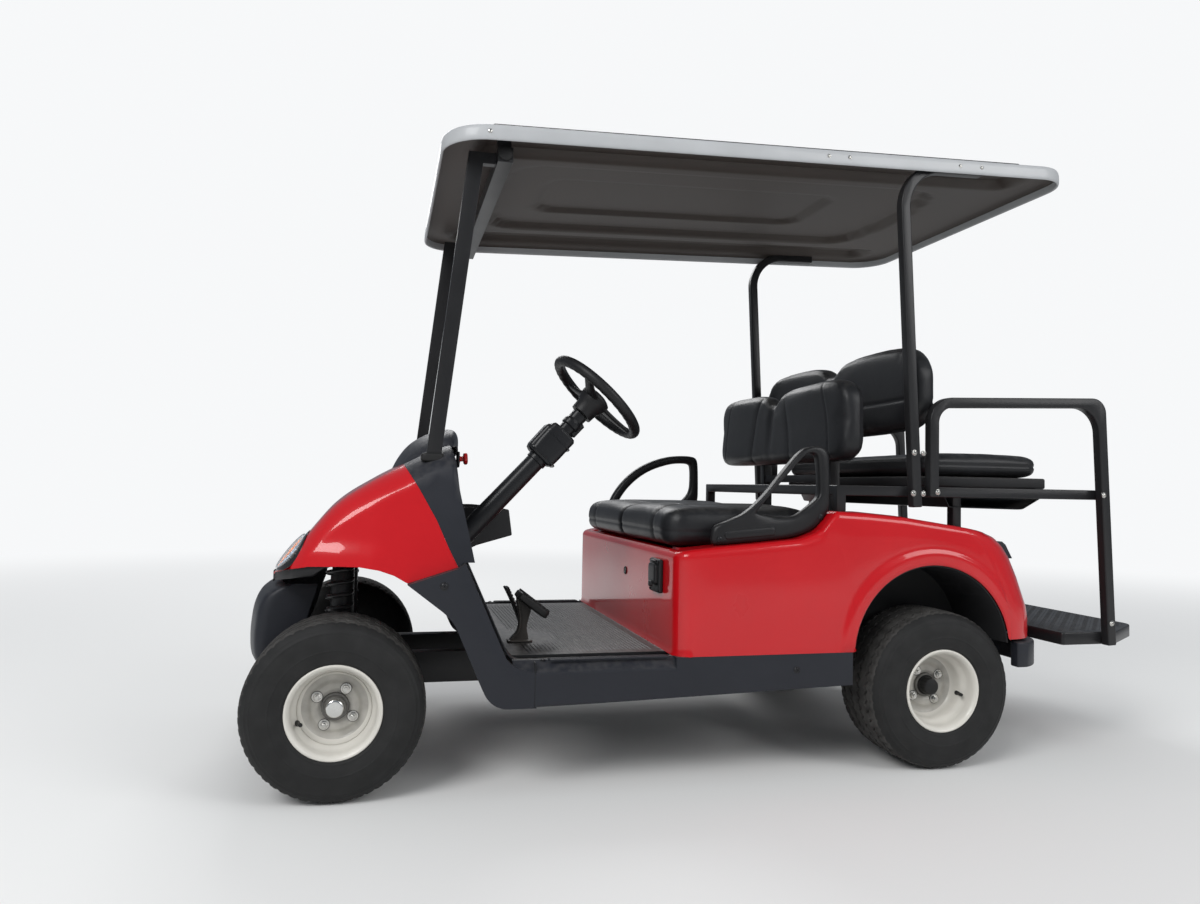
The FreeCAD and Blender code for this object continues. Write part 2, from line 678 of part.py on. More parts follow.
dash_shape = dash_shape.cut([column_hole] + sockets)
node(feature(dash_shape.removeSplitter()), "dash_housing")

# Bin under the steering column, its front wall on the dash's rear face.
bin_rear = float(S.toe_x) - 45
bin_front = shifted(face_line[:2], -0.5)
bin_outline = [bin_front[0], (bin_rear + 104, 610), (bin_rear, 640), (bin_rear + 11, 716),
               (bin_rear + 82, 722), bin_front[1]]
bin_block = side_prism(bin_outline, 200)
bin_hollow = side_prism([(bin_front[0][0] - 2, 622), (bin_rear + 107, 622), (bin_rear + 12, 648),
                         (bin_rear + 19, 740), (bin_rear + 82, 740), (bin_front[1][0] - 6, 745)], 193)
node(feature(bin_block.cut(bin_hollow)), "dash_bin")

# Front bumper: a curved moulding between the front tyres, its top leaning back under the cowl.
def bumper_section(z, front, half, wing_x, inset):
    """Closed plan outline of the bumper at one height."""
    corner = front - 34
    nose_point = V(front - inset, 0, z)
    side = half - inset
    left = V(corner - inset, side - 18, z)
    wing = V(corner - 22, side, z)
    tail = V(wing_x, side - 6, z)
    return Part.Wire([
        Part.Arc(V(left.x, -left.y, z), nose_point, left).toShape(),
        Part.makeLine(left, wing),
        Part.makeLine(wing, tail),
        Part.makeLine(tail, V(tail.x, -tail.y, z)),
        Part.makeLine(V(tail.x, -tail.y, z), V(wing.x, -wing.y, z)),
        Part.makeLine(V(wing.x, -wing.y, z), V(left.x, -left.y, z)),
    ])


front = float(S.bumper_x)
half = float(S.bumper_half_width)
low = float(S.bumper_bottom)
wall = float(S.bumper_wall)
# Columns: rise above the underside, front, half-width, rear end of the wings.
BUMPER = [
    (0, front - 14, half - 8, front - 115),
    (60, front, half, front - 145),
    (152, front - 9, half, front - 176),
    (196, front - 32, half - 2, front - 190),
    (222, front - 80, half - 6, front - 195),
]
bumper_outer = loft([bumper_section(low + z, x, w, t, 0) for z, x, w, t in BUMPER])
HOLLOW = [(-1,) + BUMPER[0][1:]] + BUMPER[1:4] + [(214, front - 66, half - 6, front - 195)]
bumper_inner = loft([bumper_section(low + z, x, w, t - 20, wall) for z, x, w, t in HOLLOW])
node(feature(bumper_outer.cut(bumper_inner)), "front_bumper")

# Places across the cart that follow the body's width.
seat_half = S.body_half_width - S.seat_inset
hip_y = S.body_half_width - S.hip_inset
socket_y = S.body_half_width - S.socket_inset

# Rear body: one red moulding, hollow and open below, over the batteries and the rear wheels.
# Seat of the hip restraints on the body, from front to rear.
HIP_SEAT = [(350, -100), (117, -78), (49, -55), (0, 0)]
hip_seat = [(S.deck_front_x + x, S.deck_front_z + z) for x, z in HIP_SEAT]
body_outline = [
    (S.body_front_x, S.body_bottom),
    (S.body_front_x, S.seat_ledge_z),
] + [(x, z - S.running_gap) for x, z in hip_seat] + [
    (S.deck_front_x - 213, S.deck_front_z - 14),
    (S.deck_rear_x, S.deck_rear_z),
    (S.deck_rear_x - 47, S.deck_rear_z - 37),
    (S.deck_rear_x - 97, S.deck_rear_z - 126),
    (S.tail_x + 6, S.tail_z + 89),
    (S.tail_x, S.tail_z + 54),
    (S.tail_x, S.tail_z),
    (S.arch_x - S.arch_radius, S.tail_z - 8),
    (S.arch_x - S.arch_radius, S.arch_z),
    (S.arch_x + S.arch_radius, S.arch_z),
    (S.arch_x + S.arch_radius, S.body_bottom),
]


def body_block(inset):
    """Block over the side outline; the inner one is shrunk by the wall and open below."""
    corners = []
    for x, z in body_outline:
        x = x - inset if float(x) > float(S.arch_x) else x + inset
        z = z - inset if float(z) > float(S.tail_z) + 20 else z - 6 * inset
        corners.append((x, z))
    half = S.body_half_width - inset
    front = S.body_front_x - inset
    plan = plate("XY", [
        (front, -half, 46),
        (front, half, 46),
        (S.tail_x, half),
        (S.tail_x, -half),
    ], S.rail_bottom, S.deck_front_z + 40)
    return shared(plate("XZ", corners, -half, half), plan)


# Tail in plan at several heights: height above the tail's edge, and how far ahead of it.
TAIL = [(-120, 0), (54, 0), (89, 6), (179, 40), (268, 90), (305, 137), (420, 230)]


def tail_form(grow):
    """Tail with round corners in plan that follow its slope; grow moves it outward."""
    sections = []
    for rise, ahead in TAIL:
        x = float(S.tail_x) + ahead - grow
        z = float(S.tail_z) + rise
        half = float(S.body_half_width) + grow
        turn = float(S.tail_corner) + grow
        lean = turn * (1 - math.sqrt(0.5))
        front = float(S.body_front_x) + 50
        sections.append(Part.Wire([
            Part.makeLine(V(front, half, z), V(x + turn, half, z)),
            Part.Arc(V(x + turn, half, z), V(x + lean, half - lean, z), V(x, half - turn, z)).toShape(),
            Part.makeLine(V(x, half - turn, z), V(x, turn - half, z)),
            Part.Arc(V(x, turn - half, z), V(x + lean, lean - half, z), V(x + turn, -half, z)).toShape(),
            Part.makeLine(V(x + turn, -half, z), V(front, -half, z)),
            Part.makeLine(V(front, -half, z), V(front, half, z)),
        ]))
    return loft(sections)


body_wall = S.body_wall
outer_body = shared(body_block(0.0 * body_wall), feature(tail_form(0.0)))
inner_body = shared(body_block(body_wall), feature(tail_form(-float(body_wall))))
arch_reach = S.body_half_width + 40
arch_cut = rod("Y", S.arch_radius, (S.arch_x, -arch_reach, S.arch_z), arch_reach * 2)
lip_y = S.body_half_width - S.body_wall
lip = rod("Y", S.arch_radius + S.arch_lip, (S.arch_x, lip_y, S.arch_z), S.body_wall + S.flare)
lip_limit = plate("XZ", [
    (S.arch_x + S.arch_radius + 60, S.body_bottom),
    (S.arch_x + S.arch_radius + 60, S.deck_front_z),
    (S.arch_x - S.arch_radius - 15, S.deck_front_z),
    (S.arch_x - S.arch_radius - 15, S.body_bottom),
], lip_y - 5, arch_reach)
lips = pair(shared(lip, lip_limit))
# Flat tray for the seat cushion, with a hole over the batteries, and the well behind it.
seat_floor = S.seat_ledge_z + 4
recess_rear = S.deck_front_x - 98
recess_half = seat_half + 12
well_front = S.seat_rear_x - 14
tray_block = box((recess_rear - 5, S.body_front_x), (-recess_half - 5, recess_half + 5),
                 (seat_floor - 10, S.deck_front_z + 40))
tray_wall = shared(outer_body, tray_block)
tray_void = box((recess_rear, S.body_front_x + 40), (-recess_half, recess_half),
                (seat_floor, S.deck_front_z + 50))
seat_hole = box((S.seat_rear_x + 80, S.body_front_x - 40), (-recess_half + 70, recess_half - 70),
                (seat_floor - 40, seat_floor + 20))
well_rear = S.deck_rear_x + 60
well_cut = box((well_rear, well_front), (-S.well_half_width, S.well_half_width),
               (S.well_floor_z + 5, S.deck_front_z + 50))
body_shell = without(joined(outer_body, lips), inner_body)
node(without(joined(body_shell, tray_wall), arch_cut, well_cut, tray_void, seat_hole), "rear_body")

# Black liners: a half drum and an inner wall over each rear wheel.
liner_radius = S.arch_radius - S.running_gap
liner_drum = rod("Y", liner_radius, (S.arch_x, S.liner_y, S.arch_z), S.body_half_width - S.liner_y)
liner_void = rod("Y", liner_radius - 4, (S.arch_x, S.liner_y + 4, S.arch_z), S.body_half_width)
liner_low = box((S.arch_x - S.arch_radius, S.arch_x + S.arch_radius),
                (S.liner_y - 5, S.body_half_width + 20), (S.arch_z - S.arch_radius - 5, S.arch_z + 24))
node(pair(without(liner_drum, liner_void, liner_low)), "wheel_liners")

# Bag well: the black tray between the rear wings, its sides up to the deck.
gap = S.running_gap
well_side = [
    (well_front - gap, S.well_floor_z),
    (well_front - gap, seat_floor),
    (recess_rear, seat_floor),
    (recess_rear, S.deck_front_z - 7),
    (S.deck_front_x - 213, S.deck_front_z - 14.5),
    (well_rear + gap, S.deck_rear_z + 3),
    (well_rear + gap, S.well_floor_z),
]
tray = plate("XZ", well_side, -S.well_half_width + gap, S.well_half_width - gap)
tray_hollow = box((well_rear + gap + 5, well_front - gap - 5),
                  (-S.well_half_width + gap + 5, S.well_half_width - gap - 5),
                  (S.well_floor_z + 5, S.deck_front_z + 50))
node(without(tray, tray_hollow), "bag_well")

# Charger socket plate on the seat box.
socket_x = S.body_front_x + gap
node(box((socket_x, socket_x + 14), (socket_y, socket_y + S.socket_width),
         (S.seat_ledge_z - 124, S.seat_ledge_z - 30)), "charger_receptacle")

# Rear bumper corners, which wrap round under the tail's corners.
bumper_top = float(S.tail_z) - 8.3
bumper_ring = tail_form(18.0).cut(tail_form(-22.0))
bumper_width = float(S.body_half_width) - 191
bumper_zone = Part.makeBox(140, bumper_width, 72, V(float(S.tail_x) - 36, 200, bumper_top - 72))
corner_piece = feature(bumper_ring.common(bumper_zone))
node(pair(corner_piece), "rear_bumper")

# Tail lamps in dark bezels that follow the sloped tail.
lamp_ring = tail_form(16.0).cut(tail_form(0.35))
lamp_box = Part.makeBox(220, 84, 190, V(float(S.tail_x) - 20, float(S.well_half_width) - 24,
                                        float(S.tail_z) + 90))
bezel = lamp_ring.common(lamp_box)
lens_ring = tail_form(46.0).cut(tail_form(0.35))
lens_box = Part.makeBox(220, 66, 52, V(float(S.tail_x) - 50, float(S.well_half_width) - 15,
                                       float(S.tail_z) + 226))
lens = lens_ring.common(lens_box)
node(pair(feature(bezel.fuse(lens).removeSplitter())), "tail_lamps")

# Front seat cushion.
seat_base = S.seat_ledge_z + 4 + S.running_gap
seat_outline = [
    (S.seat_rear_x, seat_base),
    (S.seat_front_x, seat_base, 20),
    (S.seat_front_x, seat_base + S.seat_thickness, 55),
    (S.seat_rear_x + 6, seat_base + S.seat_thickness - 12, 40),
]
seat_block = plate("XZ", seat_outline, -seat_half, seat_half)
seat_plan = plate("XY", [
    (S.seat_rear_x, -seat_half, 20),
    (S.seat_front_x, -seat_half, 70),
    (S.seat_front_x, seat_half, 70),
    (S.seat_rear_x, seat_half, 20),
], seat_base, seat_base + S.seat_thickness + 5)
node(shared(seat_block, seat_plan), "seat_cushion")

# Front backrest with its two shoulders, carried by two posts.
back_outline = [
    (-S.back_half_width, S.back_bottom_z, 40),
    (-S.back_half_width, S.back_top_z - 20, 60),
    (-S.back_half_width + 90, S.back_top_z, 120),
    (-110, S.back_top_z, 60),
    (-40, S.back_top_z - 36, 60),
    (40, S.back_top_z - 36, 60),
    (110, S.back_top_z, 60),
    (S.back_half_width - 90, S.back_top_z, 120),
    (S.back_half_width, S.back_top_z - 20, 60),
    (S.back_half_width, S.back_bottom_z, 40),
]
node(plate("YZ", back_outline, S.back_front_x - S.back_thickness, S.back_front_x), "front_backrest")
post_x = S.back_front_x - S.back_thickness - S.running_gap
post = box((post_x - S.post_width, post_x), (S.post_y - S.post_width / 2, S.post_y + S.post_width / 2),
           (S.well_floor_z + 5 + S.running_gap, S.back_bottom_z + 90))
post_bar = box((post_x - S.post_width + 4, post_x - 4), (-S.post_y, S.post_y),
               (S.back_bottom_z - 60, S.back_bottom_z - 35))
node(joined(post, mirrored(post), post_bar), "backrest_frame")

# Hip restraints: moulded loops beside the front seat. The driver's dips towards the front and the
# passenger's is a full arch. Points are from the front edge of the deck: forward, up, radius.
HIP_DRIVER = [(4, 183, 34), (88, 173, 70), (248, -15, 200), (351, -45, 30)]
HIP_DRIVER_HOLE = [(222, -7, 12), (76, 159, 24), (40, 159, 14), (32, 43, 24), (116, -21, 50)]
HIP_PASSENGER = [(4, 183, 34), (130, 183, 200), (285, 118, 150), (376, -5, 100), (360, -80, 20)]
HIP_PASSENGER_HOLE = [
    (34, 152, 16), (122, 152, 170), (270, 90, 130), (344, -14, 40), (328, -52, 14),
    (116, -30, 50), (32, 43, 24),
]


def hip_loop(edge, hole, side):
    """A loop of the stated outline and opening, on the left (side 1) or the right (side -1)."""
    def placed(rows):
        return [(S.deck_front_x + x, S.deck_front_z + z, radius) for x, z, radius in rows]
    low = side * hip_y - S.hip_width / 2
    block = plate("XZ", hip_seat + placed(edge), low, low + S.hip_width)
    void = plate("XZ", placed(hole), low - S.hip_width, low + 2 * S.hip_width)
    return without(block, void)


node(joined(hip_loop(HIP_DRIVER, HIP_DRIVER_HOLE, 1),
            hip_loop(HIP_PASSENGER, HIP_PASSENGER_HOLE, -1)), "hip_restraints")

# Rear seat kit: side rails, cross tubes and short posts down to the body.
half_tube = S.tube / 2
kit_rail_end = S.grab_rear_x - 24
kit_rail_y = S.kit_y - S.tube - S.running_gap
kit_rail_top = S.kit_rail_z + half_tube
kit_rail = box((kit_rail_end, S.kit_rail_front_x), (kit_rail_y - half_tube, kit_rail_y + half_tube),
               (S.kit_rail_z - half_tube, kit_rail_top))
kit_pieces = [kit_rail, mirrored(kit_rail)]
for x in (S.kit_rail_front_x - half_tube, S.bench_front_x - 103, S.bench_rear_x + 30):
    kit_pieces.append(box((x - half_tube, x + half_tube), (-kit_rail_y, kit_rail_y),
                          (S.kit_rail_z - half_tube, kit_rail_top)))
# Posts down to the body's top: middle along X, middle across and how far down they reach.
deck_drop = (S.deck_front_z - 14 - S.deck_rear_z) / (S.deck_front_x - 213 - S.deck_rear_x)
rear_post_x = S.bench_front_x - 103
KIT_POSTS = [
    (S.kit_rail_front_x - half_tube, kit_rail_y, S.deck_front_z - 2),
    (rear_post_x, S.well_half_width + 30, S.deck_rear_z + (rear_post_x + half_tube - S.deck_rear_x) * deck_drop),
]
for x, y, foot in KIT_POSTS:
    post = box((x - half_tube, x + half_tube), (y - half_tube, y + half_tube), (foot + gap, S.kit_rail_z))
    kit_pieces.extend([post, mirrored(post)])
node(joined(*kit_pieces), "rear_seat_frame")

# Grab rails: bent tubes from the side rails over and down to the footplate.
grab_line = [
    (S.grab_front_x, S.kit_rail_z - half_tube),
    (S.grab_front_x, S.grab_top_z - 8),
    (S.grab_rear_x, S.grab_top_z + 14),
    (S.grab_foot_x, S.footplate_top - S.footplate_thickness),
]
grab = bent_tube(grab_line, S.bend_radius, "XZ", S.kit_y)
node(pair(grab), "grab_rails")

# Footplate between the rear legs of the grab rails, on two arms under the frame rails.
plate_half = S.kit_y - half_tube - gap
plate_low = S.footplate_top - S.footplate_thickness
plate_outline = [
    (S.footplate_front_x, -plate_half, 12),
    (S.grab_foot_x - 40, -plate_half, 12),
    (S.footplate_rear_x, -S.footplate_rear_half, 60),
    (S.footplate_rear_x, S.footplate_rear_half, 60),
    (S.grab_foot_x - 40, plate_half, 12),
    (S.footplate_front_x, plate_half, 12),
]
arm_top = S.rail_bottom + S.rail_kick - gap
arm = joined(box((S.footplate_front_x - 120, S.rail_rear_x + 90), (S.rail_y - 18, S.rail_y + 18),
                 (arm_top - 30, arm_top)),
             box((S.footplate_front_x - 120, S.rail_rear_x - gap), (S.rail_y - 18, S.rail_y + 18),
                 (arm_top - 30, plate_low)))
foot = plate("XY", plate_outline, plate_low, S.footplate_top)
node(joined(foot, arm, mirrored(arm)), "footplate")

# Rear seat: board and cushion that flip over on a hinge at the rear.
board_z = kit_rail_top + S.running_gap
node(box((S.bench_rear_x - 14, S.bench_front_x), (-S.bench_half_width, S.bench_half_width),
         (board_z, board_z + S.board_thickness)), "rear_seat_board")
bench_base = board_z + S.board_thickness + S.running_gap
bench_outline = [
    (S.bench_rear_x, bench_base, 12),
    (S.bench_front_x + 6, bench_base, 12),
    (S.bench_front_x + 6, bench_base + S.bench_thickness, 24),
    (S.bench_rear_x, bench_base + S.bench_thickness, 24),
]
node(plate("XZ", bench_outline, -S.bench_half_width + 4, S.bench_half_width - 4), "rear_seat_cushion")

# Rear backrest, facing rearward.
rear_back_half = plate_half
rear_back_outline = [
    (-rear_back_half, S.rear_back_bottom, 30),
    (-rear_back_half, S.rear_back_top - 30, 80),
    (-rear_back_half + 110, S.rear_back_top, 140),
    (-110, S.rear_back_top, 60),
    (-40, S.rear_back_top - 40, 60),
    (40, S.rear_back_top - 40, 60),
    (110, S.rear_back_top, 60),
    (rear_back_half - 110, S.rear_back_top, 140),
    (rear_back_half, S.rear_back_top - 30, 80),
    (rear_back_half, S.rear_back_bottom, 30),
]
node(plate("YZ", rear_back_outline, S.rear_back_x - S.rear_back_thickness, S.rear_back_x),
     "rear_backrest")

# Roof: a shallow moulded tray with raised panels, and the pale band around its edge.
def roof_point(x, y, rise):
    """Point of the roof's sloped plane, rise above its lower edge."""
    along = (float(S.roof_front_x) - x) / (float(S.roof_front_x) - float(S.roof_rear_x))
    return V(x, y, float(S.roof_front_z) + along * float(S.roof_rise) + rise)


def roof_wire(inset, rise):
    """Closed plan outline of the roof with round corners, inset from its edge."""
    front, rear = float(S.roof_front_x) - inset, float(S.roof_rear_x) + inset
    half = float(S.roof_half_width) - inset
    turn = max(float(S.roof_corner) - inset, 20.0)
    lean = turn * (1 - math.sqrt(0.5))
    edges = []
    corners = [(front, half, -1, -1), (rear, half, 1, -1), (rear, -half, 1, 1), (front, -half, -1, 1)]
    ends = []
    for i, (x, y, dx, dy) in enumerate(corners):
        first = roof_point(x, y + dy * turn, rise)
        last = roof_point(x + dx * turn, y, rise)
        if i % 2:
            first, last = last, first
        middle = roof_point(x + dx * lean, y + dy * lean, rise)
        ends.append((first, middle, last))
    for i in range(4):
        first, middle, last = ends[i]
        edges.append(Part.Arc(first, middle, last).toShape())
        edges.append(Part.makeLine(last, ends[(i + 1) % 4][0]))
    return Part.Wire(edges)


band = float(S.roof_band)
skin = float(S.roof_skin)
band_outer = Part.makeLoft([roof_wire(0, 0), roof_wire(2, band)], True, True)
band_inner = Part.makeLoft([roof_wire(12, -1), roof_wire(12, band + 1)], True, True)
node(feature(band_outer.cut(band_inner)), "roof_trim")
edge_in = 12 + float(gap)
crown = float(S.roof_crown)
top_outer = Part.makeLoft([roof_wire(edge_in, 14), roof_wire(edge_in, band - 2),
                           roof_wire(40, band + 4), roof_wire(150, band + crown)], True, True)
top_inner = Part.makeLoft([roof_wire(edge_in + skin, 13), roof_wire(edge_in + skin, band - 8),
                           roof_wire(44, band - 2), roof_wire(152, band + crown - skin)], True, True)
node(feature(top_outer.cut(top_inner)), "roof_panel")

# Rear roof struts, inboard of the grab rails, bent back under the roof.
roof_slope = S.roof_rise / (S.roof_front_x - S.roof_rear_x)
strut_top = S.roof_front_z + (S.roof_front_x - S.strut_top_x) * roof_slope + S.roof_band - 9 - half_tube
strut_line = [
    (S.strut_foot_x, S.kit_rail_z - 45),
    (S.strut_top_x, strut_top),
    (S.strut_end_x, strut_top + (S.strut_top_x - S.strut_end_x) * roof_slope),
]
node(pair(bent_tube(strut_line, S.strut_bend, "XZ", S.kit_y)), "rear_roof_struts")

# Front roof struts and the cross bar that carries the roof.
bar_z = S.roof_front_z - 12
bar_drop = S.front_strut_depth / 2
front_strut = plate("XZ", [
    (S.front_strut_foot_x - bar_drop, S.front_strut_foot_z),
    (S.front_strut_foot_x + bar_drop, S.front_strut_foot_z),
    (S.front_strut_top_x + bar_drop, bar_z + 18),
    (S.roof_bar_x, bar_z + 18),
    (S.roof_bar_x, bar_z - 12),
    (S.front_strut_top_x - bar_drop, bar_z - 12),
], S.front_strut_y - S.front_strut_width / 2, S.front_strut_y + S.front_strut_width / 2)
roof_bar = box((S.roof_bar_x - 20, S.roof_bar_x + 20), (-S.roof_bar_half, S.roof_bar_half),
               (bar_z - 20, bar_z + 20))
bracket_top = S.roof_front_z + (S.roof_front_x - S.roof_bar_x - 18) * roof_slope + S.roof_band + 4.5
roof_bracket = box((S.roof_bar_x - 18, S.roof_bar_x + 18), (S.front_strut_y + 5, S.front_strut_y + 35),
                   (bar_z + 10, bracket_top))
node(joined(front_strut, mirrored(front_strut), roof_bar, roof_bracket, mirrored(roof_bracket)),
     "front_roof_frame")

# Steering column and wheel, built upright at the wheel's hub and then tilted.
tilt = float(S.wheel_tilt)
lean = FreeCAD.Rotation(V(0, 1, 0), -tilt)
hub_place = FreeCAD.Placement(V(0, 0, 0), lean)


def at_hub(thing):
    """Tilts a piece built on the Z axis and moves it to the steering wheel's hub."""
    thing.Placement = hub_place
    return bind(thing, Placement__Base__x=S.wheel_hub_x, Placement__Base__y=S.wheel_hub_y,
                Placement__Base__z=S.wheel_hub_z)


column_tube = rod("Z", S.column_radius, (0, 0, -S.column_length), S.column_length - 70 - gap)
shroud = box((-44, 44), (-38, 38),
             (-262, -150))
collar = rod("Z", 34, (0, 0, -150), 74)
node(at_hub(together(joined(column_tube, shroud, collar))), "steering_column")

ring = doc.addObject("Part::Torus", "ring")
bind(ring, Radius1=S.steering_radius, Radius2=S.grip_radius)
boss = rod("Z", 38, (0, 0, -70), 70)
wheel_pieces = [ring, boss]
for angle in (30, 150, 270):
    spoke = box((-16, 16), (20, S.steering_radius - 2), (-12, -2))
    spoke.Placement = FreeCAD.Placement(V(0, 0, 0), FreeCAD.Rotation(UP, angle - 90))
    wheel_pieces.append(spoke)
node(at_hub(together(joined(*wheel_pieces))), "steering_wheel")

# Brake and accelerator pedals on the toe board.
def from_toe(points):
    """Points of a side outline, given from the toe board's foot."""
    return [(S.toe_x + x, S.floor_top + z) for x, z in points]


brake_arm = plate("XZ", from_toe([(-22, 9), (-80, 9), (-94, 85), (-50, 135), (-26, 95)]),
                  S.wheel_hub_y - 4, S.wheel_hub_y + 4)
brake_pad = plate("XZ", from_toe([(-130, 75), (-120, 67), (-44, 135), (-38, 155), (-56, 149), (-134, 105)]),
                  S.wheel_hub_y - 50, S.wheel_hub_y + 50)
go_pad = plate("XZ", from_toe([(-90, 10), (-82, 8.6), (-22, 145), (-30, 149)]),
               S.wheel_hub_y - 150, S.wheel_hub_y - 85)
node(together(joined(brake_arm, brake_pad), go_pad), "pedals")

# Front beam with its yokes, and the shock absorbers that stand on it.
pin_x = S.front_axle_x
yoke = S.yoke_half_height
beam_top = S.beam_bottom + 40
beam_pieces = [box((pin_x - 20, pin_x + 20), (-S.kingpin_y + 34, S.kingpin_y - 34),
                   (S.beam_bottom, beam_top))]
low_z = S.tyre_radius - yoke - gap
high_z = S.tyre_radius + yoke + gap
for low, high, inner, outer in (
        (low_z - 14, low_z, S.kingpin_y - 40, S.kingpin_y + 16),
        (high_z, high_z + 14, S.kingpin_y - 40, S.kingpin_y + 16),
        (low_z - 14, high_z + 14, S.kingpin_y - 48, S.kingpin_y - 32)):
    plate_piece = box((pin_x - 18, pin_x + 18), (inner, outer), (low, high))
    beam_pieces.extend([plate_piece, mirrored(plate_piece)])
shock_foot = beam_top - 2
for side in (-1, 1):
    beam_pieces.append(rod("Z", S.shock_radius, (pin_x, side * S.shock_y, beam_top + 150),
                           S.shock_top_z - 190 - beam_top))
    beam_pieces.append(rod("Z", 19, (pin_x, side * S.shock_y, shock_foot), S.shock_top_z - shock_foot))
node(joined(*beam_pieces), "front_axle")

# Steered knuckles: a barrel on the kingpin, the spindle and the steering arm.
arm_low = S.tie_rod_z + S.tie_rod_radius + 2
reach = S.front_half_track + S.front_disc_offset - S.rim_wall - gap - S.kingpin_y
for label, side in (("knuckle_left", 1), ("knuckle_right", -1)):
    y = side * S.kingpin_y
    barrel = rod("Z", 22, (pin_x, y, S.tyre_radius - yoke), yoke * 2)
    spindle = rod("Y", 19, (pin_x, y if side > 0 else y - reach, S.tyre_radius), reach)
    steering_arm = plate("XY", [
        (pin_x, y + 14),
        (pin_x, y - 14),
        (pin_x - S.arm_reach - 9, y - 11),
        (pin_x - S.arm_reach - 9, y + 11),
    ], arm_low, arm_low + 12)
    ball = rod("Z", 6, (pin_x - S.arm_reach, y, S.tie_rod_z - 7), 24)
    node(joined(barrel, spindle, steering_arm, ball), label)

# Tie rod between the steering arms.
rod_x = pin_x - S.arm_reach
tie = rod("Y", S.tie_rod_radius, (rod_x, -S.kingpin_y, S.tie_rod_z), S.kingpin_y * 2)
eye_low = S.tie_rod_z - S.tie_rod_radius - 1.5
eyes = [rod("Z", 11, (rod_x, side * S.kingpin_y, eye_low), S.tie_rod_radius * 2 + 3) for side in (-1, 1)]
holes = [rod("Z", 6 + gap, (rod_x, side * S.kingpin_y, S.tie_rod_z - 30), 60) for side in (-1, 1)]
node(without(joined(tie, *eyes), *holes), "tie_rod")

# Rear axle: tubes, gearbox, brake drums and hubs, on leaf springs with shackles at their rear ends.
hub_y = S.rear_half_track + S.rear_disc_offset - S.rim_wall - gap
axle_parts = [
    rod("Y", S.rear_tube_radius, (rear_axle_x, -hub_y + 40, S.tyre_radius), hub_y * 2 - 80),
    rod("Y", 30, (rear_axle_x, -hub_y, S.tyre_radius), hub_y * 2),
    rod("Y", 98, (rear_axle_x, 0, S.tyre_radius), 120),
]
for side in (-1, 1):
    start = hub_y - 70 if side > 0 else -hub_y + 6
    axle_parts.append(rod("Y", 78, (rear_axle_x, start, S.tyre_radius), 64))
node(joined(*axle_parts), "rear_axle")
spring_top = S.tyre_radius - S.rear_tube_radius - gap
leaf_front_x = S.kick_x + 60 - S.cross_width / 2 - gap
leaf_rear_x = S.rail_rear_x + S.cross_width / 2
leaf_eye_z = rail_top - 20
leaf = plate("XZ", [
    (leaf_rear_x, leaf_eye_z),
    (rear_axle_x - 60, spring_top, 200),
    (rear_axle_x + 60, spring_top, 300),
    (leaf_front_x, leaf_eye_z),
    (leaf_front_x, leaf_eye_z - S.leaf_thickness),
    (rear_axle_x + 60, spring_top - S.leaf_thickness, 300),
    (rear_axle_x - 60, spring_top - S.leaf_thickness, 200),
    (leaf_rear_x, leaf_eye_z - S.leaf_thickness),
], S.leaf_y - S.leaf_width / 2, S.leaf_y + S.leaf_width / 2)
shackle = box((leaf_rear_x - 10, leaf_rear_x + 10),
              (S.leaf_y - S.leaf_width / 2, S.leaf_y + S.leaf_width / 2),
              (leaf_eye_z - S.leaf_thickness, rail_top + 50 - gap))
node(pair(joined(leaf, shackle)), "leaf_springs")

# Heavy masses: the drive motor on the gearbox and the batteries under the seat.
node(rod("Y", 84, (rear_axle_x + 140, -232, S.tyre_radius), 232 - gap), "drive_motor")
node(box((S.seat_rear_x + 60, S.body_front_x - 60), (-S.battery_half_width, S.battery_half_width),
         (rail_top + gap, S.battery_top)), "battery_pack")

# Wheels: each tyre and each rim is turned about its axle.
tyre_outline = [
    (-S.rim_half_width + gap, S.bead_radius),
    (-S.rim_half_width + gap, S.flange_radius + gap),
    (-S.rim_half_width - S.rim_wall, S.flange_radius + gap),
    (-S.tyre_half_width + 2, S.bead_radius + 22),
    (-S.tyre_half_width, S.bead_radius + 52, 30),
    (-S.tread_half_width - 20, S.tyre_radius - 22, 16),
    (-S.tread_half_width, S.tyre_radius - 4),
    (-S.tread_half_width / 2, S.tyre_radius),
    (S.tread_half_width / 2, S.tyre_radius),
    (S.tread_half_width, S.tyre_radius - 4),
    (S.tread_half_width + 20, S.tyre_radius - 22, 16),
    (S.tyre_half_width, S.bead_radius + 52, 30),
    (S.tyre_half_width - 2, S.bead_radius + 22),
    (S.rim_half_width + S.rim_wall, S.flange_radius + gap),
    (S.rim_half_width - gap, S.flange_radius + gap),
    (S.rim_half_width - gap, S.bead_radius),
]


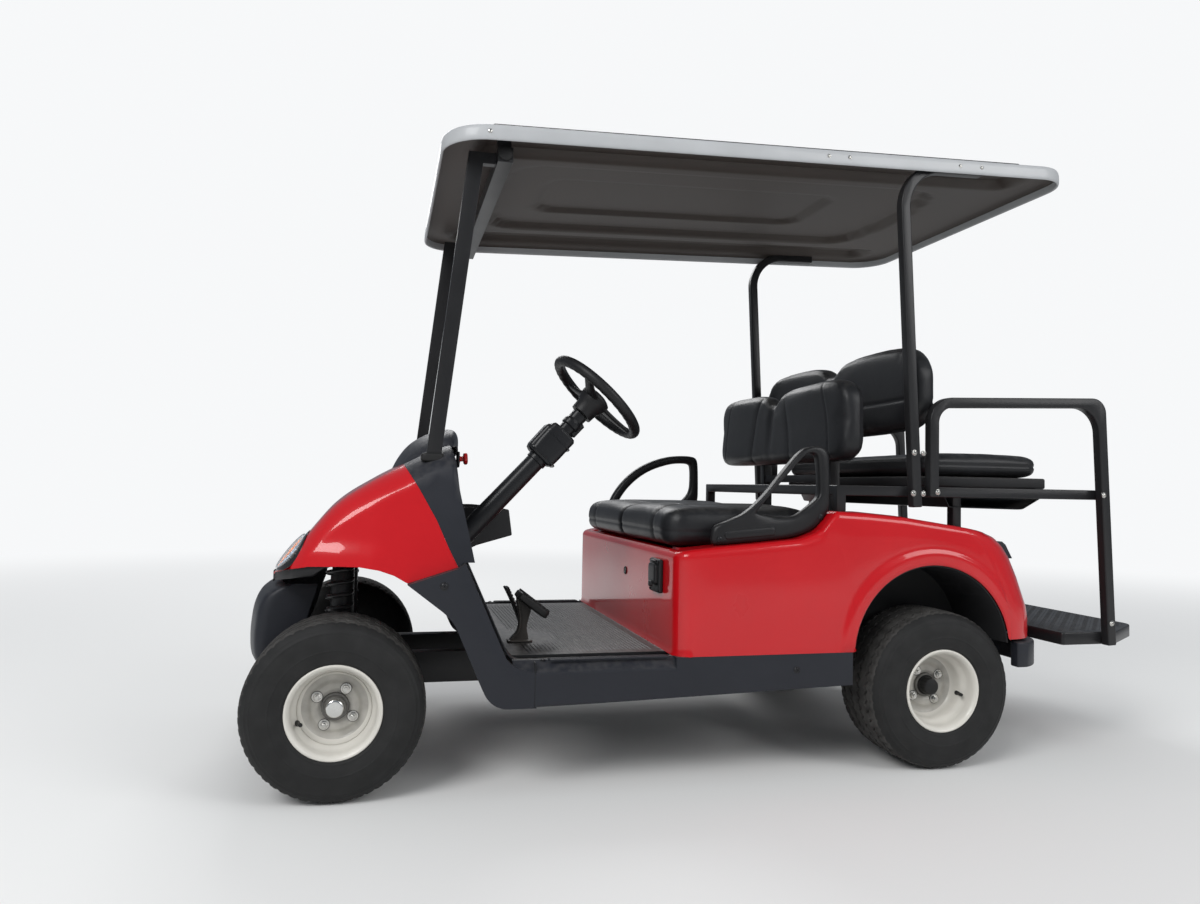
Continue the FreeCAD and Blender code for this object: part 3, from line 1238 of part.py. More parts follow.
def rim_outline(side, disc):
    """Rim's section: barrel with a well, flanges, and the disc at its offset."""
    edge = S.rim_half_width
    wall = S.rim_wall
    well = S.rim_well_radius
    seat = S.bead_radius - S.running_gap
    face = [
        (edge + wall, S.flange_radius),
        (edge + wall, seat - 2),
        (edge - 8, seat - wall),
        (edge - 36, seat - wall - 4),
        (disc + 22, well),
        (disc, S.disc_radius),
        (disc, S.hub_radius),
    ]
    back = [
        (disc - wall, S.hub_radius),
        (disc - wall, S.disc_radius + 2),
        (disc + 12, well),
        (-edge + 44, well),
        (-edge + 32, seat - wall - 4),
        (-edge + 8, seat - wall),
        (-edge - wall, seat - 2),
        (-edge - wall, S.flange_radius),
        (-edge, S.flange_radius),
        (-edge, seat),
        (-edge + 34, seat - 4),
        (-edge + 46, well + wall),
        (disc + 20, well + wall),
        (edge - 34, seat - 4),
        (edge, seat),
        (edge, S.flange_radius),
    ]
    return [(side * y, r) for y, r in face + back]


WHEELS = [
    ("front_left", S.front_axle_x, S.front_half_track, 1, S.front_disc_offset, S.front_cap_radius,
     S.front_cap_reach),
    ("front_right", S.front_axle_x, S.front_half_track, -1, S.front_disc_offset,
     S.front_cap_radius, S.front_cap_reach),
    ("rear_left", rear_axle_x, S.rear_half_track, 1, S.rear_disc_offset, S.rear_cap_radius,
     S.rear_cap_reach),
    ("rear_right", rear_axle_x, S.rear_half_track, -1, S.rear_disc_offset, S.rear_cap_radius,
     S.rear_cap_reach),
]
for name, x, half_track, side, disc, cap_radius, cap_reach in WHEELS:
    centre = (x, side * half_track, S.tyre_radius)
    node(turned(tyre_outline, centre), "tyre_" + name)
    hub_outline = [
        (side * (disc - 4), 0),
        (side * (disc - 4), S.hub_radius),
        (side * (disc + 16), S.hub_radius),
        (side * (disc + 16), cap_radius),
        (side * cap_reach, cap_radius),
        (side * cap_reach, 0),
    ]
    rim = turned(rim_outline(side, disc), centre)
    node(joined(rim, turned(hub_outline, centre)), "rim_" + name)

doc.recompute()
failed = [thing.Label for thing in doc.Objects if {"Invalid", "Error"} & set(thing.State)]
for thing in nodes:
    shape = thing.Shape
    if shape.isNull() or not shape.isValid() or not shape.Solids:
        failed.append(thing.Label)
if failed:
    raise RuntimeError("failed: " + ", ".join(failed))
os.makedirs("parts", exist_ok=True)
for thing in nodes:
    thing.Shape.exportStep("parts/%s.step" % thing.Label)
print(len(nodes), "sub-parts")
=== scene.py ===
import bmesh
import bpy
import math
import numpy as np
from mathutils import Matrix, Vector


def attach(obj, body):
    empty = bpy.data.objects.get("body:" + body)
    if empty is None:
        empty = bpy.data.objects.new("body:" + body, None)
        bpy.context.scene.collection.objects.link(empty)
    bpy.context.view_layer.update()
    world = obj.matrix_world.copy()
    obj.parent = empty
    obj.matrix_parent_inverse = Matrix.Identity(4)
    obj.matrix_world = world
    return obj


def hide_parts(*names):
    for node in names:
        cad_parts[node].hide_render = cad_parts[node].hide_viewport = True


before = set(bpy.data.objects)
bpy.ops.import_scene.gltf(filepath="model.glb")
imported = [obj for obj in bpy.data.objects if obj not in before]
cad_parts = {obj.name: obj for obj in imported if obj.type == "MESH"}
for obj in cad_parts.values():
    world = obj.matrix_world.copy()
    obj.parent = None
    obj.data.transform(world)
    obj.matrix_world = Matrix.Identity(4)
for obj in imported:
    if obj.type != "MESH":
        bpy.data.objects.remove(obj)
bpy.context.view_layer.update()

# The camera stands where the photograph was taken, a little above the seat on the driver's side.
# Right, up and forward are the three directions of its view, found from the wheels' outlines.
view_right = Vector((-0.970069, 0.242070, 0.019040))
view_up = Vector((0.027808, 0.032852, 0.999073))
view_forward = Vector((-0.241227, -0.969702, 0.038601))
camera_data = bpy.data.cameras.new("view")
camera_data.sensor_width = 36.0
camera_data.lens = 26.3358
camera_data.clip_end = 100.0
camera = bpy.data.objects.new("view", camera_data)
bpy.context.collection.objects.link(camera)
view_axes = Matrix((view_right, view_up, -view_forward)).transposed()
camera.matrix_world = Matrix.Translation((1.02793, 2.80144, 0.79142)) @ view_axes.to_4x4()
bpy.context.scene.camera = camera
bpy.context.scene.view_settings.view_transform = "Standard"


# The studio: a pale matt floor that fades into a white surround, with three large soft lamps.
# The camera and clear pieces see the surround white; polished faces mirror it at a dimmer level.
def set_sockets(tree, node, sockets):
    """Each named socket of a shader node takes a value, or a link from another node's output."""
    for name, value in sockets.items():
        if isinstance(value, bpy.types.NodeSocket):
            tree.links.new(value, node.inputs[name])
        else:
            node.inputs[name].default_value = value


def shader_node(tree, kind, sockets, **settings):
    """New shader node of a kind, with its settings made before its sockets are filled."""
    node = tree.nodes.new("ShaderNode" + kind)
    for name, value in settings.items():
        setattr(node, name, value)
    set_sockets(tree, node, sockets)
    return node


def ramp(tree, factor, dark, pale, low=0.0, high=1.0):
    """Colour that runs from dark to pale as the factor goes from low to high."""
    node = shader_node(tree, "ValToRGB", {"Fac": factor})
    for stop, place, colour in zip(node.color_ramp.elements, (low, high), (dark, pale)):
        stop.position = place
        stop.color = (*colour, 1)
    return node.outputs["Color"]


WALL_WHITE = (0.93, 0.94, 0.95, 1)
FLOOR_SIDE = 40.0
floor_mesh = bpy.data.meshes.new("studio_floor")
floor_corners = [(sx * FLOOR_SIDE, sy * FLOOR_SIDE, 0) for sx, sy in ((-1, -1), (1, -1), (1, 1), (-1, 1))]
floor_mesh.from_pydata(floor_corners, [], [(0, 1, 2, 3)])
ground = bpy.data.objects.new("studio_floor", floor_mesh)


def floor_finish():
    """Matt floor with a faint tint from soft noise; far off, the camera sees it glow as the surround."""
    material = bpy.data.materials.new("studio_floor")
    material.use_nodes = True
    tree = material.node_tree
    shader = tree.nodes["Principled BSDF"]
    noise = shader_node(tree, "TexNoise", {"Scale": 0.7})
    tint = ramp(tree, noise.outputs["Fac"], (0.72, 0.72, 0.71), (0.77, 0.77, 0.76))
    set_sockets(tree, shader, {"Roughness": 0.9, "Base Color": tint})
    place = shader_node(tree, "TexCoord", {})
    reach = shader_node(tree, "VectorMath", {0: place.outputs["Object"]}, operation="LENGTH")
    fade = shader_node(tree, "MapRange", {"Value": reach.outputs["Value"], "From Min": 2.2, "From Max": 8.5},
                       interpolation_type="SMOOTHSTEP")
    ray = shader_node(tree, "LightPath", {})
    seen = shader_node(tree, "Math", {0: fade.outputs["Result"], 1: ray.outputs["Is Camera Ray"]},
                       operation="MULTIPLY")
    glow = shader_node(tree, "Emission", {"Color": WALL_WHITE})
    both = shader_node(tree, "MixShader", {"Fac": seen.outputs["Value"], 1: shader.outputs["BSDF"],
                                           2: glow.outputs["Emission"]})
    set_sockets(tree, tree.nodes["Material Output"], {"Surface": both.outputs["Shader"]})
    return material


bpy.context.collection.objects.link(ground)
ground.data.materials.append(floor_finish())

world = bpy.data.worlds.new("surround")
bpy.context.scene.world = world
world.use_nodes = True
sky = world.node_tree
light_shade = sky.nodes["Background"]
set_sockets(sky, light_shade, {"Color": (0.93, 0.96, 1.0, 1), "Strength": 0.6})
mirror_shade = shader_node(sky, "Background", {"Color": (0.80, 0.88, 1.0, 1), "Strength": 0.22})
seen_shade = shader_node(sky, "Background", {"Color": WALL_WHITE, "Strength": 1.0})
ray = shader_node(sky, "LightPath", {})
seen_rays = shader_node(sky, "Math", {0: ray.outputs["Is Camera Ray"], 1: ray.outputs["Is Transmission Ray"]},
                        operation="MAXIMUM")
unseen = shader_node(sky, "MixShader", {"Fac": ray.outputs["Is Glossy Ray"],
                                        1: light_shade.outputs["Background"],
                                        2: mirror_shade.outputs["Background"]})
surround = shader_node(sky, "MixShader", {"Fac": seen_rays.outputs["Value"], 1: unseen.outputs["Shader"],
                                          2: seen_shade.outputs["Background"]})
set_sockets(sky, sky.nodes["World Output"], {"Surface": surround.outputs["Shader"]})

# Columns: place, point aimed at, size in metres, watts.
LAMPS = [
    ((4.6, 4.4, 5.2), (0.1, 0.0, 0.6), 3.2, 300),
    ((-3.8, 4.6, 3.6), (-0.3, 0.0, 0.6), 3.0, 130),
    ((0.5, -5.0, 4.5), (0.0, 0.0, 0.8), 3.0, 130),
]
for number, (place, aim, size, watts) in enumerate(LAMPS):
    lamp_data = bpy.data.lights.new("softbox_%d" % number, "AREA")
    lamp_data.size = size
    lamp_data.energy = watts
    lamp = bpy.data.objects.new("softbox_%d" % number, lamp_data)
    lamp.location = place
    lamp.rotation_mode = "QUATERNION"
    lamp.rotation_quaternion = (Vector(aim) - Vector(place)).to_track_quat("-Z", "Y")
    bpy.context.collection.objects.link(lamp)


# Frame rails, cross members and brackets: pressed and welded steel, sprayed with black chassis paint.
# The rails rise over the rear axle. Edges are eased as a folded plate's are.
DUST = (0.32, 0.30, 0.27, 1)


def bumped(tree, height, strength, depth, **below):
    """Normal that a height bends by a strength and a depth in metres, over another normal or none."""
    node = shader_node(tree, "Bump", {"Height": height, "Strength": strength, "Distance": depth, **below})
    return node.outputs["Normal"]


def finish_coat(name, colour, rough, coat=0.0, grain=0.0, grain_size=900.0, metal=0.0, mottle=0.12,
                dust=0.0, drift_size=7.0, specular=0.3):
    """Finish whose colour drifts with soft noise, with fine grain as bump and pale dust on top faces."""
    material = bpy.data.materials.new(name)
    material.use_nodes = True
    tree = material.node_tree
    shader = tree.nodes["Principled BSDF"]
    place = shader_node(tree, "TexCoord", {}).outputs["Object"]
    noise = shader_node(tree, "TexNoise", {"Vector": place, "Scale": drift_size, "Detail": 5.0})
    drift = noise.outputs["Fac"]
    dark, pale = ([min(1.0, part * share) for part in colour] for share in (1 - mottle, 1 + mottle))
    shade = ramp(tree, drift, dark, pale, 0.3, 0.7)
    if dust > 0:
        form = shader_node(tree, "NewGeometry", {})
        lift = shader_node(tree, "SeparateXYZ", {"Vector": form.outputs["Normal"]})
        speck = shader_node(tree, "TexNoise", {"Vector": place, "Scale": 55.0, "Detail": 8.0})
        amount = shader_node(tree, "Math", {0: lift.outputs["Z"], 1: speck.outputs["Fac"]},
                             operation="MULTIPLY")
        limit = shader_node(tree, "MapRange", {"Value": amount.outputs["Value"], "From Min": 0.25,
                                               "From Max": 0.7, "To Max": dust})
        blend = shader_node(tree, "Mix", {"Factor": limit.outputs["Result"], "A": shade, "B": DUST},
                            data_type="RGBA")
        shade = blend.outputs["Result"]
    spread = shader_node(tree, "MapRange", {"Value": drift, "To Min": max(0.02, rough - 0.08),
                                            "To Max": min(1.0, rough + 0.08)})
    set_sockets(tree, shader, {"Metallic": metal, "Specular IOR Level": specular, "Coat Weight": coat,
                        "Coat Roughness": 0.05, "Base Color": shade, "Roughness": spread.outputs["Result"]})
    if grain > 0:
        fine = shader_node(tree, "TexNoise", {"Vector": place, "Scale": grain_size, "Detail": 3.0})
        set_sockets(tree, shader, {"Normal": bumped(tree, fine.outputs["Fac"], grain, 0.0005)})
    return material


def dressed(mesh, finish):
    """The mesh takes one finish and smooth shading."""
    mesh.materials.clear()
    mesh.materials.append(finish)
    mesh.polygons.foreach_set("use_smooth", [True] * len(mesh.polygons))
    mesh.update()


def shown(name, mesh, finish, body):
    """Object of a mesh with one finish, riding a body."""
    dressed(mesh, finish)
    thing = bpy.data.objects.new(name, mesh)
    bpy.context.collection.objects.link(thing)
    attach(thing, body)
    return thing


def solid_copy(node, suffix, finish, body="cart", drop=None):
    """Copy of a solid from the frame, doubles merged, in the solid's place.

    With a test for faces to drop, those go; without one, flat neighbours become one face.
    """
    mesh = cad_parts[node].data.copy()
    form = bmesh.new()
    form.from_mesh(mesh)
    bmesh.ops.remove_doubles(form, verts=form.verts, dist=2e-5)
    if drop is None:
        bmesh.ops.dissolve_limit(form, angle_limit=math.radians(2), verts=form.verts, edges=form.edges)
    else:
        marked = [face for face in form.faces if drop(*(face.calc_center_median() * 1000))]
        bmesh.ops.delete(form, geom=marked, context="FACES")
    form.to_mesh(mesh)
    form.free()
    thing = shown(node + suffix, mesh, finish, body)
    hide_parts(node)
    return thing


def eased(node, width, finish, body="cart", steps=2, angle=32):
    """Copy of a solid from the frame with its edges rounded by a bevel."""
    thing = solid_copy(node, "_eased", finish, body)
    bevel = thing.modifiers.new("edges", "BEVEL")
    bevel.width = width / 1000
    bevel.segments = steps
    bevel.limit_method = "ANGLE"
    bevel.angle_limit = math.radians(angle)
    bevel.harden_normals = True
    return thing


chassis_paint = finish_coat("chassis_paint", (0.016, 0.016, 0.017), 0.42, grain=0.25, dust=0.25)
eased("chassis_frame", 2.5, chassis_paint)

# Springs, rear axle, motor and batteries: forged and cast steel, painted black, below the body. The
# batteries are one block, since nothing of them shows but their outline.
eased("leaf_springs", 1.5, chassis_paint)
eased("rear_axle", 3, chassis_paint)
eased("drive_motor", 4, finish_coat("motor_enamel", (0.022, 0.022, 0.024), 0.38, grain=0.2, dust=0.2))
eased("battery_pack", 6, finish_coat("battery_case", (0.018, 0.018, 0.02), 0.5, grain=0.3, dust=0.2))


# Small fasteners: domed screws and hexagon nuts, turned as profiles about their own axis and set
# square to the face they hold. Bright ones are zinc plated, dark ones are black oxide.
def full_turn(count):
    """Angles of an even turn, without its last one."""
    return np.linspace(0, 2 * np.pi, count, endpoint=False)


def facing(direction):
    """Two directions across a given one, each square to it and to each other."""
    direction = np.asarray(direction, float) / np.linalg.norm(direction)
    across = np.cross(direction, [0.0, 0.0, 1.0] if abs(direction[2]) < 0.9 else [1.0, 0.0, 0.0])
    across /= np.linalg.norm(across)
    return across, np.cross(direction, across), direction


def grid_faces(rows, columns, close_rows=False, close_columns=False):
    """Quads of a grid of points, each given by its four corners' numbers."""
    i = np.arange(rows if close_rows else rows - 1)
    j = np.arange(columns if close_columns else columns - 1)
    a, b = np.meshgrid(i, j, indexing="ij")
    a2, b2 = (a + 1) % rows, (b + 1) % columns
    quads = [a * columns + b, a2 * columns + b, a2 * columns + b2, a * columns + b2]
    return np.stack(quads, axis=-1).reshape(-1, 4)


def outward(points, faces):
    """Quads of a closed form turned so that the volume that they enclose counts as positive."""
    a, b, c, d = (points[faces[:, k]] for k in range(4))
    volume = np.einsum("ij,ij->i", a, np.cross(b, c)).sum() + np.einsum("ij,ij->i", a, np.cross(c, d)).sum()
    return faces if volume > 0 else faces[:, ::-1]


def surface(name, points, faces, finish, body="cart", angle=40, closed=True):
    """Mesh piece from millimetre points and quads; a closed one has its faces turned outwards."""
    points = np.asarray(points, dtype=np.float64).reshape(-1, 3) / 1000
    faces = np.asarray(faces, dtype=np.int32)
    if closed:
        faces = outward(points, faces)
    mesh = bpy.data.meshes.new(name)
    mesh.vertices.add(len(points))
    mesh.vertices.foreach_set("co", points.astype(np.float32).ravel())
    mesh.loops.add(faces.size)
    mesh.loops.foreach_set("vertex_index", np.ascontiguousarray(faces).ravel())
    mesh.polygons.add(len(faces))
    mesh.polygons.foreach_set("loop_start", np.arange(len(faces)) * 4)
    mesh.update(calc_edges=True)
    form = bmesh.new()
    form.from_mesh(mesh)
    bmesh.ops.remove_doubles(form, verts=form.verts, dist=4e-6)
    bmesh.ops.dissolve_degenerate(form, edges=form.edges, dist=1e-6)
    form.to_mesh(mesh)
    form.free()
    thing = shown(name, mesh, finish, body)
    mesh.set_sharp_from_angle(angle=math.radians(angle))
    return thing


def gathered(parts):
    """Several meshes as one: points stacked and the faces' numbers moved on."""
    points, faces, start = [], [], 0
    for more_points, more_faces in parts:
        more_points = np.asarray(more_points, float).reshape(-1, 3)
        points.append(more_points)
        faces.append(outward(more_points, np.asarray(more_faces)) + start)
        start += len(more_points)
    return np.vstack(points), np.vstack(faces)


def turned_form(profile, centre, direction, count=24):
    """Profile of (along, radius) pairs carried round an axis; its two ends run to the axis."""
    profile = np.asarray(profile, float)
    profile = np.vstack([[profile[0, 0], 1e-3], profile, [profile[-1, 0], 1e-3]])
    across, third, along = facing(direction)
    turn = full_turn(count)[:, None]
    ring = np.cos(turn) * across + np.sin(turn) * third
    points = np.asarray(centre, float) + profile[:, None, :1] * along + profile[:, None, 1:] * ring[None]
    return points.reshape(-1, 3), grid_faces(len(profile), count, close_columns=True)


def screw_head(place, direction, radius, height):
    """Domed head: a quarter-round profile turned about the screw, with a flange and a small recess."""
    profile = [(-1.0, 1.25), (0.7, 1.25), (0.9, 1.0), (height * 0.65, 0.86), (height, 0.5), (height, 0.32),
               (height * 0.45, 0.26)]
    return turned_form([(along, radius * share) for along, share in profile], place, direction, 20)


def hexagon(place, direction, radius, height):
    """Hexagon nut: six-sided profile with a washer under it and a stud end standing out."""
    # Columns: sides, then (along, share of the radius) for washer, nut and stud.
    shapes = [(24, [(-0.5, 1.3), (1.4, 1.3), (1.6, 1.2)]),
              (6, [(1.0, 0.98), (1.6, 1.0), (height - 0.8, 1.0), (height, 0.86), (height, 0.55)]),
              (16, [(height - 2, 0.5), (height + 3.4, 0.5), (height + 4, 0.42)])]
    parts = [([(along, radius * share) for along, share in profile], sides) for sides, profile in shapes]
    return gathered([turned_form(profile, place, direction, sides) for profile, sides in parts])


zinc = finish_coat("zinc_plate", (0.56, 0.55, 0.52), 0.28, metal=1.0, mottle=0.2, drift_size=60)
black_oxide = finish_coat("black_oxide", (0.03, 0.03, 0.032), 0.35, metal=0.6, mottle=0.15, drift_size=60)
SIDES = (-1, 1)

# Floor pan: one charcoal moulding with a fine grain that turns up into the toe board. It is laid over
# the frame, and the mat and the pedals lie on it.
floor_plastic = finish_coat("floor_plastic", (0.017, 0.018, 0.021), 0.55, grain=0.6, grain_size=800,
                            dust=0.35)
eased("floor_pan", 2.0, floor_plastic)


# Floor mat: black rubber with fine ribs across the cart, a smooth border, and a smooth half-round
# patch under the pedals. It stops short of the seat box and the side panels.
MAT_X, MAT_HALF, MAT_TOP, RIB_PITCH, RIB_RISE = (243.0, 684.0), 498.0, 343.6, 11.0, 1.1
PATCH_MIDDLE, PATCH_RADIUS = (640.0, 215.0), 120.0


def walled(skin, thickness, inside, ring=False):
    """Closed sheet: the skin, its copy set towards a point inside along the normals, and a rim.

    In a ring the last row meets the first, so only the two long edges get a rim.
    """
    wrapped = np.concatenate([skin[-1:], skin, skin[:1]]) if ring else skin
    along = np.gradient(wrapped, axis=0)[1:-1] if ring else np.gradient(skin, axis=0)
    normal = np.cross(along, np.gradient(skin, axis=1))
    normal /= np.maximum(np.linalg.norm(normal, axis=-1, keepdims=True), 1e-9)
    if np.einsum("ijk,ijk->", normal, skin - np.asarray(inside, float)) < 0:
        normal = -normal
    inner = skin - normal * thickness
    rows, columns = skin.shape[:2]
    outer_faces = grid_faces(rows, columns, close_rows=ring)
    shift = rows * columns
    left = np.arange(rows) * columns
    right = left + columns - 1
    if ring:
        edge = np.concatenate([left[::-1], right])
        following = np.concatenate([np.roll(left[::-1], -1), np.roll(right, -1)])
    else:
        across = np.arange(columns - 1)
        edge = np.concatenate([across, right[:-1], right[-1] - across, left[:0:-1]])
        following = np.roll(edge, -1)
    rim = np.stack([following, edge, edge + shift, following + shift], axis=-1)
    faces = np.concatenate([outer_faces, outer_faces[:, ::-1] + shift, rim])
    return np.concatenate([skin.reshape(-1, 3), inner.reshape(-1, 3)]), faces


def mat_sheet():
    """Height field over the mat: ribs as a squared sine of X, damped to nothing in border and patch."""
    x, y = np.meshgrid(np.linspace(*MAT_X, 354), np.linspace(-MAT_HALF, MAT_HALF, 34), indexing="ij")
    rib = np.clip(np.sin(x * 2 * np.pi / RIB_PITCH) * 2.2, -1, 1)
    inside = np.clip((x - 285) / 3, 0, 1) * np.clip((640 - x) / 3, 0, 1)
    inside = inside * np.clip((460 - np.abs(y)) / 3, 0, 1)
    from_patch = np.hypot(x - PATCH_MIDDLE[0], y - PATCH_MIDDLE[1]) - PATCH_RADIUS
    return np.stack([x, y, MAT_TOP + RIB_RISE * rib * inside * np.clip(from_patch / 4, 0, 1)], axis=-1)


mat_rubber = finish_coat("mat_rubber", (0.013, 0.0135, 0.015), 0.46, grain=0.35, dust=0.22, drift_size=9)
mat = surface("floor_mat_ribbed", *walled(mat_sheet(), 6.5, (450.0, 0.0, 200.0)), mat_rubber, angle=60)
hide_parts("floor_mat")


# Side panels: charcoal mouldings with a fine grain, from the front wheel's arch down and along the
# sill. Each has a screw at the leg, a plug in the sill, a seam, and three long beads on its top.
def bead(start, end, up, width, height, count=40):
    """Long raised bead with round ends: half an ellipse carried along a line, shrinking at its ends."""
    start, end, up = (np.asarray(v, float) for v in (start, end, up))
    along = end - start
    length = np.linalg.norm(along)
    along /= length
    over = np.cross(up, along)
    t = np.linspace(0, 1, count)
    near = np.minimum(t, 1 - t) * length
    share = np.sqrt(np.clip(1 - (1 - np.clip(near / (width / 2), 0, 1)) ** 2, 0, 1))
    turn = full_turn(16)
    points = (start + along * (t * length)[:, None, None]
              + over * (width / 2 * share[:, None] * np.cos(turn)[None, :])[..., None]
              + up * (height * share[:, None] * np.sin(turn)[None, :])[..., None])
    return points, grid_faces(count, 16, close_columns=True)


def slab(low, high):
    """Box between two corners as six quads, each with corners of its own order."""
    spans = tuple(zip(low, high))
    points = np.array([(x, y, z) for x in spans[0] for y in spans[1] for z in spans[2]], dtype=float)
    faces = np.array([(0, 1, 3, 2), (4, 6, 7, 5), (0, 4, 5, 1), (2, 3, 7, 6), (0, 2, 6, 4), (1, 5, 7, 3)])
    return points, faces


trim_plastic = finish_coat("trim_plastic", (0.016, 0.0175, 0.023), 0.44, grain=0.55, grain_size=620,
                           mottle=0.08, dust=0.12)
for name in ("rocker_left", "rocker_right"):
    eased(name, 7.0, trim_plastic, steps=4, angle=30)
panel_screws = [screw_head((x, s * 588.2, z), (0, s, 0), r, 3.4)
                for s in SIDES for x, z, r in ((868, 535, 8.5), (-88, 300, 7.5))]
surface("panel_screws", *gathered(panel_screws), black_oxide, angle=40)
sill_screws = [screw_head((x, s * 562, 343.1), (0, 0, 1), 5.5, 2.4) for s in SIDES for x in (612, 250)]
surface("sill_screws", *gathered(sill_screws), black_oxide, angle=40)
beads = [bead((600, s * y, 343.2), (270, s * y, 343.2), (0, 0, 1), 6.5, 2.6)
         for s in SIDES for y in (553, 563.5, 574)]
surface("sill_beads", *gathered(beads), trim_plastic, angle=60)
SEAM_X, SEAM_Y, SEAM_Z = (634, 635.4), {-1: (-588.7, -547), 1: (547, 588.7)}, (228, 340)
seams = [slab((SEAM_X[0], SEAM_Y[s][0], SEAM_Z[0]), (SEAM_X[1], SEAM_Y[s][1], SEAM_Z[1])) for s in SIDES]
surface("panel_seams", *gathered(seams), mat_rubber, angle=30)

# Front axle: a welded beam with upright tubes, carried by two coil-over shock absorbers. Coils are
# black painted spring wire, seven turns each, round a slimmer damper.
eased("front_axle", 2.5, chassis_paint)
for name in ("knuckle_left", "knuckle_right"):
    eased(name, 2.0, chassis_paint, name)
tie_zinc = finish_coat("tie_rod_zinc", (0.42, 0.41, 0.39), 0.36, metal=1.0, mottle=0.2, drift_size=30)
eased("tie_rod", 1.0, tie_zinc, "tie_rod")
SHOCK_X, SHOCK_Y, COIL_RADIUS, COIL_WIRE, COIL_TURNS, COIL_Z = 1129.0, 280.0, 32.0, 6.5, 7.0, (352.0, 560.0)


def wound(centre, count=220, around=12):
    """Round wire carried along a helix: the helix's own frame spans the wire's circle at each step."""
    t = np.linspace(0, 1, count)
    angle = 2 * np.pi * COIL_TURNS * t
    flat = np.clip(np.minimum(t, 1 - t) * COIL_TURNS / 0.8, 0, 1)
    rise = np.cumsum(flat) / flat.sum()
    out = np.stack([np.cos(angle), np.sin(angle), np.zeros(count)], axis=-1)
    up = np.array([0.0, 0.0, 1.0])
    spine = COIL_RADIUS * out + (COIL_Z[0] + (COIL_Z[1] - COIL_Z[0]) * rise)[:, None] * up
    turn = full_turn(around)[None, :, None]
    points = (np.asarray(centre, float) + spine[:, None, :]
              + COIL_WIRE * (np.cos(turn) * out[:, None, :] + np.sin(turn) * up))
    points[0], points[-1] = points[0].mean(axis=0), points[-1].mean(axis=0)
    return points, grid_faces(count, around, close_columns=True)


spring_paint = finish_coat("spring_paint", (0.018, 0.018, 0.019), 0.34, coat=0.3, grain=0.1, dust=0.15)
coils = [wound((SHOCK_X, s * SHOCK_Y, 0.0)) for s in SIDES]
surface("front_coils", *gathered(coils), spring_paint, angle=60)
SEAT_PROFILE = [(0, 20), (0, 42), (5, 43), (7, 40), (7, 22)]
seats = [turned_form(SEAT_PROFILE, (SHOCK_X, s * SHOCK_Y, z), (0, 0, 1), 32)
         for s in SIDES for z in (340.0, 562.0)]
surface("spring_seats", *gathered(seats), spring_paint, angle=40)


# Tyres: black rubber golf tyres with five ribs between zigzag grooves, and fine notches at the
# shoulders. Each is one closed ring; raised rings run round the sidewalls.
AXLE_UP, TREAD_RADIUS, TREAD_EDGE = 225.0, 225.0, 78.0
# Columns: across from the tyre's middle, radius.
SIDEWALL = np.array([
    (86.0, 108.2), (93.6, 109.5), (95.8, 114.0), (98.0, 119.0), (103.2, 132.0), (106.6, 148.0),
    (108.0, 166.0), (106.4, 184.0), (101.4, 200.0), (94.0, 212.0), (86.0, 219.4), (79.0, 222.2)])
# Columns: radius, lift, width.
SIDEWALL_RINGS = [(124.0, 1.2, 2.0), (153.0, 1.0, 1.6), (196.0, 1.4, 2.2), (206.0, 0.9, 1.4)]
GROOVES, GROOVE_DEPTH, GROOVE_HALF, GROOVE_SLOPE = (58.0, 19.0), 8.0, 3.4, 1.6
WAVES, PER_WAVE, WAVE_SWING, NOTCH_DEPTH = 52, 4, 5.0, 4.6


def smooth_through(x, knots, values):
    """Smooth curve through known values: cubic pieces whose slopes are the neighbours' mean slope."""
    knots, values = np.asarray(knots, float), np.asarray(values, float)
    steps = np.diff(values) / np.diff(knots)
    slopes = np.concatenate([[steps[0]], 0.5 * (steps[1:] + steps[:-1]), [steps[-1]]])
    k = np.clip(np.searchsorted(knots, x) - 1, 0, len(knots) - 2)
    h = knots[k + 1] - knots[k]
    t = np.clip((x - knots[k]) / h, 0, 1)
    return ((2 * t**3 - 3 * t**2 + 1) * values[k] + (t**3 - 2 * t**2 + t) * h * slopes[k]
            + (3 * t**2 - 2 * t**3) * values[k + 1] + (t**3 - t**2) * h * slopes[k + 1])


def length_along(*lines):
    """Distance run at each point of a line given by its coordinates."""
    return np.concatenate([[0.0], np.cumsum(np.hypot(*(np.diff(line) for line in lines)))])


